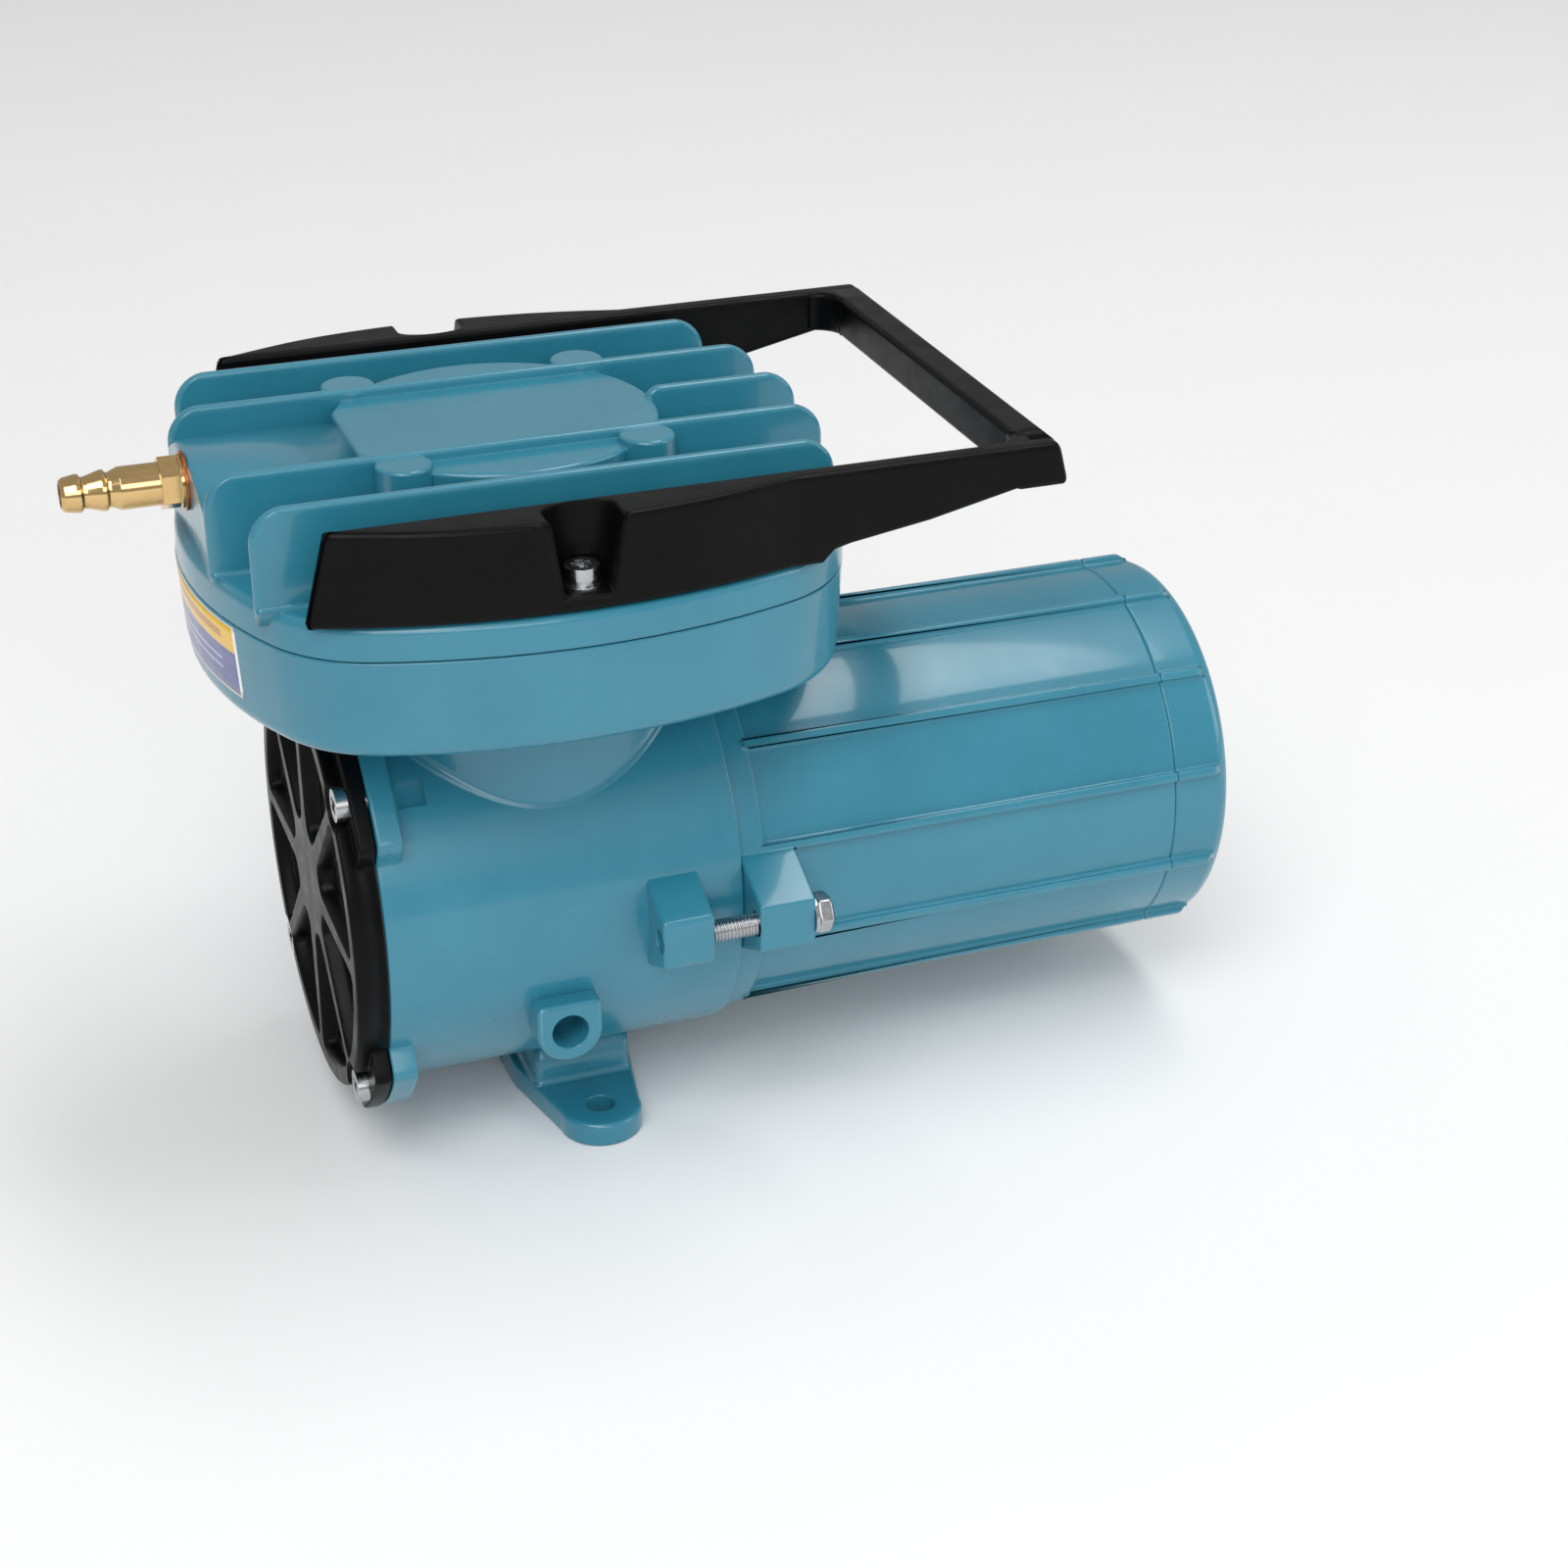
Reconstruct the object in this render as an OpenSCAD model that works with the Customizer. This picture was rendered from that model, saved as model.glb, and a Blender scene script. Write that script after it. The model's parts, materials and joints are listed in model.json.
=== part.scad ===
// Pond air pump: a direct-current motor drives a piston compressor with a finned head.
// Millimetres. Origin midway between the two foot holes, on the mounting plane.
// +X runs along the motor shaft towards the motor's tail. +Z is up.

/* [Layout] */
// Height of the motor shaft above the mounting plane
shaft_height = 57.5; // [56:0.5:60]
// Distance of the foot holes from the cylinder axis, along the shaft
foot_offset = 8.5; // [6:0.5:11]

/* [Crankcase] */
// Outer radius of the crankcase
case_radius = 47.5; // [47:0.5:48]
// Inner radius of the crankcase
case_inner_radius = 43; // [42:0.5:44]
// Outer radius of the upright barrel that carries the head
barrel_radius = 38; // [37:0.5:39]
// Radius of the circle of the end cover screws
cover_screw_radius = 49; // [48.5:0.25:49.5]
// Half the distance between the two foot holes
foot_hole_y = 34.5; // [33:0.5:36]
// Radius of each foot hole
foot_hole_radius = 3.2; // [2.8:0.2:3.6]
// Radius of the air intake bore
intake_radius = 4; // [3.5:0.25:4.5]

/* [Head] */
// Half width of the head, across the shaft
head_half_width = 65.5; // [64.5:0.5:66]
// Half length of the head, along the shaft
head_half_length = 70.5; // [70:0.5:72]
// Thickness of a cooling fin
fin_thickness = 2.5; // [2:0.1:3]
// Distance between neighbouring fins
fin_spacing = 21; // [20.5:0.25:21.5]
// Height of the fin tops above the shaft
fin_top = 105; // [104:0.5:106]
// Radius of the round valve drum
drum_radius = 35; // [34.5:0.5:36]

/* [Compressor] */
// Radius of the cylinder bore
bore_radius = 26; // [25.5:0.5:27]
// Offset of the crank pin from the shaft axis
crank_throw = 3; // [2.5:0.25:3]
// Radius of the crank pin
pin_radius = 6; // [5.5:0.25:6.5]

/* [Motor] */
// Radius over the motor's ribs
rib_radius = 45.6; // [45.2:0.2:46]
// Radius of the panels between the ribs
panel_radius = 43.9; // [43.5:0.1:44.2]
// Radius of the motor shaft
shaft_radius = 4; // [3.9:0.05:4]
// Radius of the armature core
core_radius = 30; // [29:0.5:30.4]
// Radius of the commutator
commutator_radius = 11; // [10.5:0.5:11.5]

/* [Hidden] */
$fn = 64;
fit_gap = 0.03;
screw_gap = 0.25;
overlap = 1;

// Positions along the shaft, from the cylinder axis
case_x0 = -40.5;
case_x1 = 39;
cover_gasket_thickness = 0.4;
cover_x0 = -47.6;
lug_x1 = -35;
lug_cover_x0 = -44.5;
motor_x1 = 146.3;
cap_x1 = 161;
cap_rib_x1 = 157;

// Heights above the shaft
pan_z0 = 54.6;
pan_floor = 3.2;
pan_z1 = 76.2;
seam = 0.6;
cover_z0 = pan_z1 + seam;
deck_z = 84;
deck_plate = 3;
drum_top = 102.8;
boss_top = 104.4;
chamber_top = 99.5;
gasket_thickness = 0.5;
valve_plate_thickness = 3;
valve_plate_z1 = cover_z0 - gasket_thickness;
valve_plate_z0 = valve_plate_z1 - valve_plate_thickness;
flange_thickness = 4;
flange_z0 = valve_plate_z0 - flange_thickness;
flange_radius = 44;
liner_wall = 4;
liner_z0 = 33;
barb_z = 96.8;

// Outline of the head: four side arcs joined by four corner arcs
head_x = 2;
corner_x = 33.5;
corner_y = 30;
corner_radius = 30;

head_screw_xy = [25.8, 25.5];
chamber_radius = 29.5;
boss_radius = 5.9;
rim_screw_xy = [46, 37];
pan_screw_radius = 34;
ear_bolt_y = 54.5;
motor_ear_x1 = 51.7;
tie_washer_thickness = 0.8;
intake_x = -2;
intake_z = -21.7;
handle_screw_x = 1;
handle_screw_y = 59.5;
ledge_z = 87.5;
handle_top = 103.6;
handle_inner_y = 53.8;
arm_outer_y = 58.7;
panel_half_width = 65.2;
panel_arc_radius = 155;

rod_half_width = 5;
crown_z0 = 56;
crown_z1 = 60;
seal_z1 = 61;
piston_top = 64;
cap_recess = 1.8;
piston_screw_y = 15;
piston_radius = bore_radius - crank_throw - 0.5;
seal_radius = piston_radius + 0.3;
port_x = 5;
port_y = 4;
port_radius = 2.5;
reed_thickness = 0.4;
reed_seat_gap = 0.02;
reed_root_x = -13;
reed_tip_x = 10;
reed_half_width = 8;
reed_screw_x = -9;

bearing_radius = 11;
bearing_width = 7;
front_bearing_x = case_x1 - bearing_width;
rear_bearing_x = 147;
housing_bore = 40;
core_x0 = 66;
core_x1 = 112;
slots = 12;
ribs = 12;
rib_width = 2.2;
commutator_x0 = 124;
commutator_x1 = 136;
brush_x = 130;
brush_size = [6, 5, 13];
brush_z0 = commutator_radius - 1;
brush_z1 = brush_z0 + brush_size[2] + 1;
spring_z1 = 33;
plate_x0 = 137.5;
plate_x1 = 140.5;
cap_screw_y = 35.5;
grommet_z = -28;

teal = [0.24, 0.49, 0.56];
black = [0.06, 0.06, 0.07];
steel = [0.72, 0.73, 0.75];
brass = [0.80, 0.62, 0.32];
copper = [0.72, 0.42, 0.22];
rubber = [0.10, 0.10, 0.10];

// ---------- helpers ----------

// Puts parts drawn about the shaft and cylinder axes at their place above the feet
module in_place() {
  translate([-foot_offset, 0, shaft_height]) children();
}

// A round bar along the shaft
module x_rod(x0, x1, r) {
  translate([x0, 0, 0]) rotate([0, 90, 0]) cylinder(h = x1 - x0, r = r);
}

// An upright round bar
module z_rod(x, y, z0, z1, r) {
  translate([x, y, z0]) cylinder(h = z1 - z0, r = r);
}

// Extrudes a shape drawn as (Y, Z) along the shaft
module yz_prism(x0, x1) {
  translate([x0, 0, 0]) rotate([90, 0, 90]) linear_extrude(x1 - x0) children();
}

// Extrudes a shape drawn as (X, Z) from y0 to y1
module xz_prism(y0, y1) {
  translate([0, y1, 0]) rotate([90, 0, 0]) linear_extrude(y1 - y0) children();
}

module box(x0, x1, y0, y1, z0, z1) {
  translate([x0, y0, z0]) cube([x1 - x0, y1 - y0, z1 - z0]);
}

// Repeats a child in the four quarters around the Z axis
module four_corners() {
  for (sx = [-1, 1])
    for (sy = [-1, 1])
      scale_sides(sx, sy) children();
}

module scale_sides(sx, sy) {
  mirror([sx < 0 ? 1 : 0, 0, 0])
    mirror([0, sy < 0 ? 1 : 0, 0])
      children();
}

module both_sides() {
  children();
  mirror([0, 1, 0]) children();
}

// The bowed outline of the head, drawn "inset" millimetres inside its outer edge.
// A side arc is tangent to the two corner arcs next to it.
module head_outline(inset = 0) {
  w = head_half_width - inset;
  l = head_half_length - inset;
  rc = corner_radius - inset;
  across = (pow(corner_x, 2) + pow(corner_y, 2) - pow(w - rc, 2)) / (2 * (w - rc - corner_y));
  along = (pow(corner_x, 2) + pow(corner_y, 2) - pow(l - rc, 2)) / (2 * (l - rc - corner_x));
  r_across = w + across;
  r_along = l + along;
  x_join = corner_x * r_across / (r_across - rc);
  y_join = corner_y * r_along / (r_along - rc);
  translate([head_x, 0]) {
    intersection() {
      translate([0, -across]) circle(r_across, $fn = 200);
      translate([0, across]) circle(r_across, $fn = 200);
      square([2 * x_join, 3 * w], center = true);
    }
    intersection() {
      translate([-along, 0]) circle(r_along, $fn = 200);
      translate([along, 0]) circle(r_along, $fn = 200);
      square([3 * l, 2 * y_join], center = true);
    }
    for (sx = [-1, 1])
      for (sy = [-1, 1])
        translate([sx * corner_x, sy * corner_y]) circle(rc, $fn = 120);
  }
}

module head_slab(z0, z1, inset = 0) {
  translate([0, 0, z0]) linear_extrude(z1 - z0) head_outline(inset);
}

// ---------- crankcase ----------

// The four lugs that carry the end cover screws
module cover_lugs(x0, x1) {
  lug_half_angle = 15;
  lug_radius = 53.3;
  reach = 80;
  for (a = [45, 135, 225, 315])
    yz_prism(x0, x1)
      intersection() {
        circle(lug_radius);
        polygon([[0, 0],
          [reach * cos(a - lug_half_angle), reach * sin(a - lug_half_angle)],
          [reach * cos(a + lug_half_angle), reach * sin(a + lug_half_angle)]]);
      }
}

module cover_screw_holes(x0, x1, r) {
  for (a = [45, 135, 225, 315])
    translate([0, cover_screw_radius * cos(a), cover_screw_radius * sin(a)])
      x_rod(x0, x1, r);
}

// An ear that a tie bolt passes through, with sloped upper and lower sides
module ear(x0, x1) {
  ear_y = 57.8;
  ear_half_height = 5.4;
  root_half_height = 11;
  root_y = 42;
  yz_prism(x0, x1)
    polygon([[-root_y, -root_half_height - 1], [-46, -root_half_height], [-ear_y, -ear_half_height],
      [-ear_y, ear_half_height], [-46, root_half_height], [-root_y, root_half_height + 1]]);
}

// The rounded tongue and its web, on the near side
module foot() {
  foot_thickness = 5.7;
  tip_radius = 9.4;
  web_half_length = 13.5;
  web_y = 24;
  x = foot_offset;
  z0 = -shaft_height;
  z_rod(x, -foot_hole_y, z0, z0 + foot_thickness, tip_radius);
  translate([0, 0, z0])
    linear_extrude(foot_thickness)
      polygon([[x - tip_radius, -foot_hole_y], [x + tip_radius, -foot_hole_y],
        [x + web_half_length, -web_y / 2], [x + web_half_length, 1],
        [x - web_half_length - 1, 1], [x - web_half_length - 1, -web_y / 2]]);
  box(x - web_half_length + 1, x + web_half_length - 2, -web_y, 1, z0, -36);
}

module intake_boss() {
  boss_half_width = 7.3;
  boss_y = 49.7;
  translate([intake_x, 0, intake_z])
    xz_prism(-boss_y, -34)
      union() {
        circle(boss_half_width);
        translate([-boss_half_width, 0]) square([2 * boss_half_width, boss_half_width - 0.3]);
      }
}

module crankcase() {
  wall_x0 = 29;
  shaft_hole_radius = 9;
  color(teal) in_place()
    difference() {
      union() {
        x_rod(case_x0, case_x1, case_radius);
        z_rod(0, 0, 0, pan_z0, barrel_radius);
        cover_lugs(case_x0, lug_x1);
        both_sides() ear(17, 28.8);
        both_sides() foot();
        intake_boss();
      }
      // Hollow of the crankcase, open at the end cover
      x_rod(case_x0 - overlap, wall_x0, case_inner_radius);
      // Bore that the cylinder liner sits in
      z_rod(0, 0, 0, pan_z0 + overlap, bore_radius + liner_wall + fit_gap);
      // Passage for the shaft and the seat of the front bearing
      x_rod(wall_x0 - overlap, case_x1 + overlap, shaft_hole_radius);
      x_rod(front_bearing_x, case_x1 + overlap, bearing_radius + fit_gap);
      // Air intake
      translate([intake_x, 0, intake_z]) xz_prism(-60, -30) circle(intake_radius);
      // Threaded holes
      cover_screw_holes(case_x0 - overlap, lug_x1 + overlap, 2 + fit_gap);
      both_sides()
        translate([0, -ear_bolt_y, 0]) x_rod(10, 30, 2.5 + fit_gap);
      for (a = [0, 90, 180, 270])
        rotate([0, 0, a]) z_rod(pan_screw_radius, 0, 45, pan_z0 + overlap, 2 + fit_gap);
      // Shallow square pocket beside the upper near lug
      rotate([44.5, 0, 0])
        box(-33.5, -27.5, -3, 3, case_radius - 1.2, case_radius + 1);
      // Foot holes
      both_sides()
        z_rod(foot_offset, -foot_hole_y, -shaft_height - overlap, -45, foot_hole_radius);
    }
}

module end_cover_gasket() {
  color(rubber) in_place()
    difference() {
      x_rod(case_x0 - cover_gasket_thickness, case_x0, case_radius - 0.6);
      x_rod(case_x0 - overlap, case_x0 + overlap, case_inner_radius + 1);
    }
}

module end_cover() {
  cover_x1 = case_x0 - cover_gasket_thickness;
  rim_radius = 42.5;
  hub_radius = 13;
  pocket_depth = 3;
  spokes = 8;
  spoke_width = 7;
  inner_radius = case_inner_radius - 0.5;
  cover_screw_seat = 4.4;
  color(black) in_place()
    difference() {
      union() {
        x_rod(cover_x0, cover_x1, case_radius);
        cover_lugs(lug_cover_x0, cover_x1);
        // Spigot that centres the cover in the crankcase
        x_rod(cover_x1 - overlap, cover_x1 + 2, inner_radius);
      }
      // Pockets between the spokes of the outer face
      difference() {
        x_rod(cover_x0 - overlap, cover_x0 + pocket_depth, rim_radius);
        x_rod(cover_x0 - overlap, cover_x0 + pocket_depth, hub_radius);
        for (i = [0 : spokes / 2 - 1])
          rotate([i * 360 / spokes, 0, 0])
            box(cover_x0 - overlap, cover_x0 + pocket_depth,
              -rim_radius, rim_radius, -spoke_width / 2, spoke_width / 2);
      }
      // Hollow inner side
      x_rod(cover_x0 + 5.5, cover_x1 + 3, inner_radius - 3);
      cover_screw_holes(cover_x0 - overlap, case_x0, 2 + screw_gap);
      // Seats of the screw heads, cut into the rim
      cover_screw_holes(cover_x0 - overlap, lug_cover_x0, cover_screw_seat);
    }
}

// A pan-head screw along +X with a cross recess; its head's underside is at x = 0
module pan_head_screw(shank_radius, shank_length, head_radius, head_height) {
  recess = head_radius * 0.55;
  slot = head_radius * 0.22;
  difference() {
    x_rod(-head_height, 0, head_radius);
    box(-head_height - overlap, -head_height / 2, -recess, recess, -slot, slot);
    box(-head_height - overlap, -head_height / 2, -slot, slot, -recess, recess);
  }
  x_rod(-0.1, shank_length, shank_radius);
}

// The same screw standing on its tip, its head's underside at z = 0 and its shank downwards
module upright_screw(shank_radius, shank_length, head_radius, head_height) {
  rotate([0, 90, 0]) pan_head_screw(shank_radius, shank_length, head_radius, head_height);
}

module end_cover_screws() {
  color(steel) in_place()
    for (a = [45, 135, 225, 315])
      translate([lug_cover_x0, cover_screw_radius * cos(a), cover_screw_radius * sin(a)])
        rotate([a, 0, 0]) pan_head_screw(2, 9, 3.6, 2.6);
}

// ---------- cylinder and head ----------

module head_screw_holes(z0, z1, r) {
  four_corners() z_rod(head_screw_xy[0], head_screw_xy[1], z0, z1, r);
}

module cylinder_liner() {
  color(steel) in_place()
    difference() {
      union() {
        z_rod(0, 0, liner_z0, flange_z0 + overlap, bore_radius + liner_wall);
        z_rod(0, 0, flange_z0, valve_plate_z0, flange_radius);
      }
      z_rod(0, 0, liner_z0 - overlap, valve_plate_z0 + overlap, bore_radius);
      head_screw_holes(flange_z0 - overlap, valve_plate_z0 + overlap, 2.5 + screw_gap);
    }
}

module rim_columns(z0, z1, r) {
  translate([head_x, 0, 0])
    four_corners() z_rod(rim_screw_xy[0], rim_screw_xy[1], z0, z1, r);
}

module lower_pan() {
  wall = 4;
  column_radius = 5.5;
  head_recess = 3.6;
  color(teal) in_place()
    difference() {
      union() {
        difference() {
          union() {
            head_slab(pan_z0, pan_z0 + 1.5, 3);
            head_slab(pan_z0 + 1.5, pan_z0 + 3.5, 1.2);
            head_slab(pan_z0 + 3.5, pan_z1);
          }
          head_slab(pan_z0 + pan_floor, pan_z1 + overlap, wall);
        }
        rim_columns(pan_z0 + 1, pan_z1, column_radius);
      }
      z_rod(0, 0, pan_z0 - overlap, pan_z0 + 2 * pan_floor, bore_radius + liner_wall + screw_gap);
      for (a = [0, 90, 180, 270])
        rotate([0, 0, a])
          z_rod(pan_screw_radius, 0, pan_z0 - overlap, pan_z0 + 2 * pan_floor, 2 + screw_gap);
      rim_columns(pan_z0 - overlap, pan_z1 + overlap, 2 + screw_gap);
      rim_columns(pan_z0 - overlap, pan_z0 + head_recess, 4);
    }
}

module pan_screws() {
  color(steel) in_place()
    for (a = [0, 90, 180, 270])
      rotate([0, 0, a])
        translate([pan_screw_radius, 0, pan_z0 + pan_floor]) upright_screw(2, 12, 3.2, 2.6);
}

module head_gasket() {
  color(rubber) in_place()
    difference() {
      head_slab(pan_z1, cover_z0, 0.6);
      head_slab(pan_z1 - overlap, cover_z0 + overlap, 3.8);
      rim_columns(pan_z1 - overlap, cover_z0 + overlap, 2 + screw_gap);
    }
}

module valve_gasket() {
  color(rubber) in_place()
    difference() {
      z_rod(0, 0, valve_plate_z1, cover_z0, flange_radius);
      z_rod(0, 0, valve_plate_z1 - overlap, cover_z0 + overlap, chamber_radius + 1);
      head_screw_holes(valve_plate_z1 - overlap, cover_z0 + overlap, 2.5 + screw_gap);
    }
}

// Two round ports side by side
module ports(z0, z1) {
  for (y = [-port_y, port_y]) z_rod(port_x, y, z0, z1, port_radius);
}

module valve_plate() {
  color(steel) in_place()
    difference() {
      z_rod(0, 0, valve_plate_z0, valve_plate_z1, flange_radius);
      head_screw_holes(valve_plate_z0 - overlap, valve_plate_z1 + overlap, 2.5 + screw_gap);
      ports(valve_plate_z0 - overlap, valve_plate_z1 + overlap);
      z_rod(reed_screw_x, 0, valve_plate_z0 + 0.5, valve_plate_z1 + overlap, 1.5 + fit_gap);
    }
}

// A flat tongue with an eye that fits around its screw's head; it lifts about its left edge
module reed(z) {
  difference() {
    union() {
      box(reed_root_x, reed_tip_x - 2, -reed_half_width, reed_half_width, z, z + reed_thickness);
      box(reed_root_x + 1, reed_tip_x, -reed_half_width + 2, reed_half_width - 2,
        z, z + reed_thickness);
    }
    z_rod(reed_screw_x, 0, z - overlap, z + overlap, 3.2);
  }
}

module exhaust_reed() {
  color(steel) in_place() reed(valve_plate_z1 + reed_seat_gap);
}

module exhaust_reed_screw() {
  color(steel) in_place()
    translate([reed_screw_x, 0, valve_plate_z1]) upright_screw(1.5, 2.4, 2.8, 1.8);
}

module head_screws() {
  color(steel) in_place()
    four_corners()
      translate([head_screw_xy[0], head_screw_xy[1], flange_z0])
        mirror([0, 0, 1]) upright_screw(2.5, 26, 4.2, 3.5);
}

// A fin from x0 to x1 with rounded upper corners, as wide as fin_thickness
module fin(y, x0, x1, r0, r1) {
  xz_prism(y - fin_thickness / 2, y + fin_thickness / 2)
    union() {
      translate([x0, deck_z - 2]) square([x1 - x0, fin_top - max(r0, r1) - deck_z + 2]);
      translate([x0 + r0, deck_z]) square([x1 - x0 - r0 - r1, fin_top - deck_z]);
      translate([x0 + r0, fin_top - r0]) circle(r0);
      translate([x1 - r1, fin_top - r1]) circle(r1);
    }
}

// The bowed ridge over the outlet passage, between the barb and the drum
module outlet_ridge() {
  ridge_x0 = -66;
  ridge_top = 102.6;
  ridge_arc = 48;
  half = fin_spacing;
  yz_prism(ridge_x0, -15)
    intersection() {
      translate([0, ridge_top - ridge_arc]) circle(ridge_arc, $fn = 160);
      translate([-half, deck_z - 1]) square([2 * half, 30]);
    }
}

module head_cover() {
  fin_r = 7.5;
  color(teal) in_place()
    difference() {
      union() {
        difference() {
          union() {
            head_slab(cover_z0, deck_z - 1);
            head_slab(deck_z - 1, deck_z, 0.8);
          }
          // Hollow under the deck, outside the middle boss
          difference() {
            head_slab(cover_z0 - overlap, deck_z - deck_plate, 5);
            z_rod(0, 0, cover_z0 - overlap, deck_z, flange_radius + 1);
            rim_columns(cover_z0 - overlap, deck_z, 5.5);
            both_sides() z_rod(handle_screw_x, -handle_screw_y, cover_z0 - overlap, deck_z, 6);
          }
        }
        fin(2 * fin_spacing, -61, 61, fin_r, fin_r);
        fin(-2 * fin_spacing, -61, 61, fin_r, fin_r);
        fin(fin_spacing, -66, 66.2, fin_r, fin_r);
        fin(-fin_spacing, -66, 66.2, fin_r, fin_r);
        // Middle fin, from the drum to the right end
        fin(0, 33, 68, 2.4, fin_r);
        z_rod(0, 0, deck_z - 1, drum_top, drum_radius);
        four_corners() z_rod(head_screw_xy[0], head_screw_xy[1], deck_z - 1, boss_top, boss_radius);
        outlet_ridge();
      }
      // Chamber above the exhaust reed
      z_rod(0, 0, cover_z0 - overlap, chamber_top, chamber_radius);
      // Outlet passage and the barb's thread
      translate([0, 0, barb_z]) {
        x_rod(-60, 0, 2.6);
        x_rod(-70, -58, 4.7 + fit_gap);
      }
      head_screw_holes(cover_z0 - overlap, 97, 2.5 + fit_gap);
      rim_columns(cover_z0 - overlap, 82.3, 2 + fit_gap);
      both_sides() z_rod(handle_screw_x, -handle_screw_y, 77.5, deck_z + overlap, 2 + fit_gap);
    }
}

module rim_screws() {
  color(steel) in_place()
    translate([head_x, 0, 0])
      four_corners()
        translate([rim_screw_xy[0], rim_screw_xy[1], pan_z0 + 3.6])
          mirror([0, 0, 1]) upright_screw(2, 23.5, 3.6, 2.6);
}

module barb_washer() {
  color(copper) in_place()
    translate([0, 0, barb_z])
      difference() {
        x_rod(-66.7, -66, 6.2);
        x_rod(-68, -65, 4.7 + screw_gap);
      }
}

module outlet_barb() {
  hex_across_flats = 10;
  bore = 2.6;
  shank = 4.5;
  x_tip = -91.5;
  color(brass) in_place()
    translate([0, 0, barb_z])
      difference() {
        union() {
          // Tip, two barbs and the shank, turned as one profile
          rotate([0, 90, 0])
            rotate_extrude($fn = 96)
              polygon([[bore - 1, x_tip], [3, x_tip], [3.6, x_tip + 0.8], [4, x_tip + 3.2],
                [4, x_tip + 4], [3.3, x_tip + 4.6], [3.4, x_tip + 5.4], [4.3, x_tip + 8.4],
                [4.3, x_tip + 9.1], [3.6, x_tip + 9.7], [3.7, x_tip + 10.2], [shank, x_tip + 12],
                [shank, -71], [bore - 1, -71]]);
          x_rod(-71.4, -66.9, 4.6);
          translate([-71.4, 0, 0]) rotate([0, 90, 0])
            cylinder(h = 4.1, r = hex_across_flats / 2 / cos(30), $fn = 6);
          x_rod(-67.4, -66.7, 5.6);
          x_rod(-67, -59, 4.7);
        }
        x_rod(x_tip - overlap, -50, bore);
      }
}

// ---------- handle ----------

// Plan of one side: a bowed panel and a straight arm
module handle_plan(inset) {
  arc_y = panel_arc_radius - panel_half_width;
  intersection() {
    translate([handle_screw_x, arc_y]) circle(panel_arc_radius - inset, $fn = 400);
    translate([-54 + inset, -panel_half_width])
      square([101 - inset, panel_half_width - handle_inner_y - inset]);
  }
}

module handle_side() {
  bottom = deck_z;
  well_top = 7.4;
  well_bottom = 5;
  x = handle_screw_x;
  difference() {
    intersection() {
      union() {
        translate([0, 0, bottom]) linear_extrude(handle_top - bottom) handle_plan(0);
        box(40, 107, -arm_outer_y, -handle_inner_y, bottom, handle_top);
      }
      xz_prism(-70, -50)
        polygon([[-53.5, bottom], [-48.5, handle_top], [105, handle_top], [107.4, 94.1],
          [97.2, 94.1], [96.2, 95], [76.3, 90.2], [58.8, 87.5], [55.5, 86.8], [53, bottom]]);
    }
    // Hollow of the panel
    difference() {
      intersection() {
        translate([0, 0, bottom - overlap]) linear_extrude(16.5 + overlap) handle_plan(2.4);
        box(-47, 40, -70, -50, bottom - overlap, handle_top - 2.5);
      }
      box(x - 10, x + 10, -70, -50, bottom - overlap, handle_top);
    }
    // Well above the screw, open on the outer side and narrower towards its floor
    intersection() {
      union() {
        z_rod(x, -handle_screw_y - 0.8, ledge_z, handle_top + overlap, 5.2);
        box(x - well_top, x + well_top, -70, -handle_screw_y - 0.8, ledge_z, handle_top + overlap);
      }
      xz_prism(-70, -50)
        polygon([[x - well_bottom, ledge_z], [x + well_bottom, ledge_z],
          [x + well_top, handle_top + overlap], [x - well_top, handle_top + overlap]]);
    }
    z_rod(x, -handle_screw_y, bottom - overlap, ledge_z + overlap, 2 + screw_gap);
  }
}

module handle() {
  color(black) in_place()
    union() {
      both_sides() handle_side();
      // Crossbar, with its outer face leaning out towards the bottom
      xz_prism(-arm_outer_y, arm_outer_y)
        polygon([[97.6, 94.1], [97.6, handle_top], [105, handle_top], [107.4, 94.1]]);
      // Corner fillets
      both_sides()
        difference() {
          box(91.6, 98, -handle_inner_y - 0.5, -handle_inner_y + 6, 95.5, handle_top);
          z_rod(91.6, -handle_inner_y + 6, 90, handle_top + overlap, 6);
        }
    }
}

module handle_flat_washers() {
  color(steel) in_place()
    both_sides()
      difference() {
        z_rod(handle_screw_x, -handle_screw_y, ledge_z, ledge_z + 0.8, 4.2);
        z_rod(handle_screw_x, -handle_screw_y, ledge_z - overlap, ledge_z + 2, 2 + screw_gap);
      }
}

module handle_spring_washers() {
  z0 = ledge_z + 0.8;
  color(steel) in_place()
    both_sides()
      difference() {
        z_rod(handle_screw_x, -handle_screw_y, z0, z0 + 1.1, 3.4);
        z_rod(handle_screw_x, -handle_screw_y, z0 - overlap, z0 + 2, 2 + screw_gap);
        box(handle_screw_x, handle_screw_x + 4, -handle_screw_y - 0.3, -handle_screw_y + 0.3,
          z0 - overlap, z0 + 2);
      }
}

module handle_screws() {
  color(steel) in_place()
    both_sides()
      translate([handle_screw_x, -handle_screw_y, ledge_z + 1.9])
        upright_screw(2, 11.4, 3.6, 2.6);
}

// A thin label that follows the left end of the pan
module nameplate() {
  label_thickness = 0.3;
  label_z0 = 60;
  label_z1 = 75.8;
  label_half_width = 30.5;
  color([0.93, 0.93, 0.94]) in_place()
    intersection() {
      difference() {
        head_slab(label_z0, label_z1, -label_thickness);
        head_slab(label_z0 - overlap, label_z1 + overlap, -0.02);
      }
      box(-80, -50, -label_half_width, label_half_width, label_z0, label_z1);
    }
}

// ---------- crank, rod and piston ----------

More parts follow.
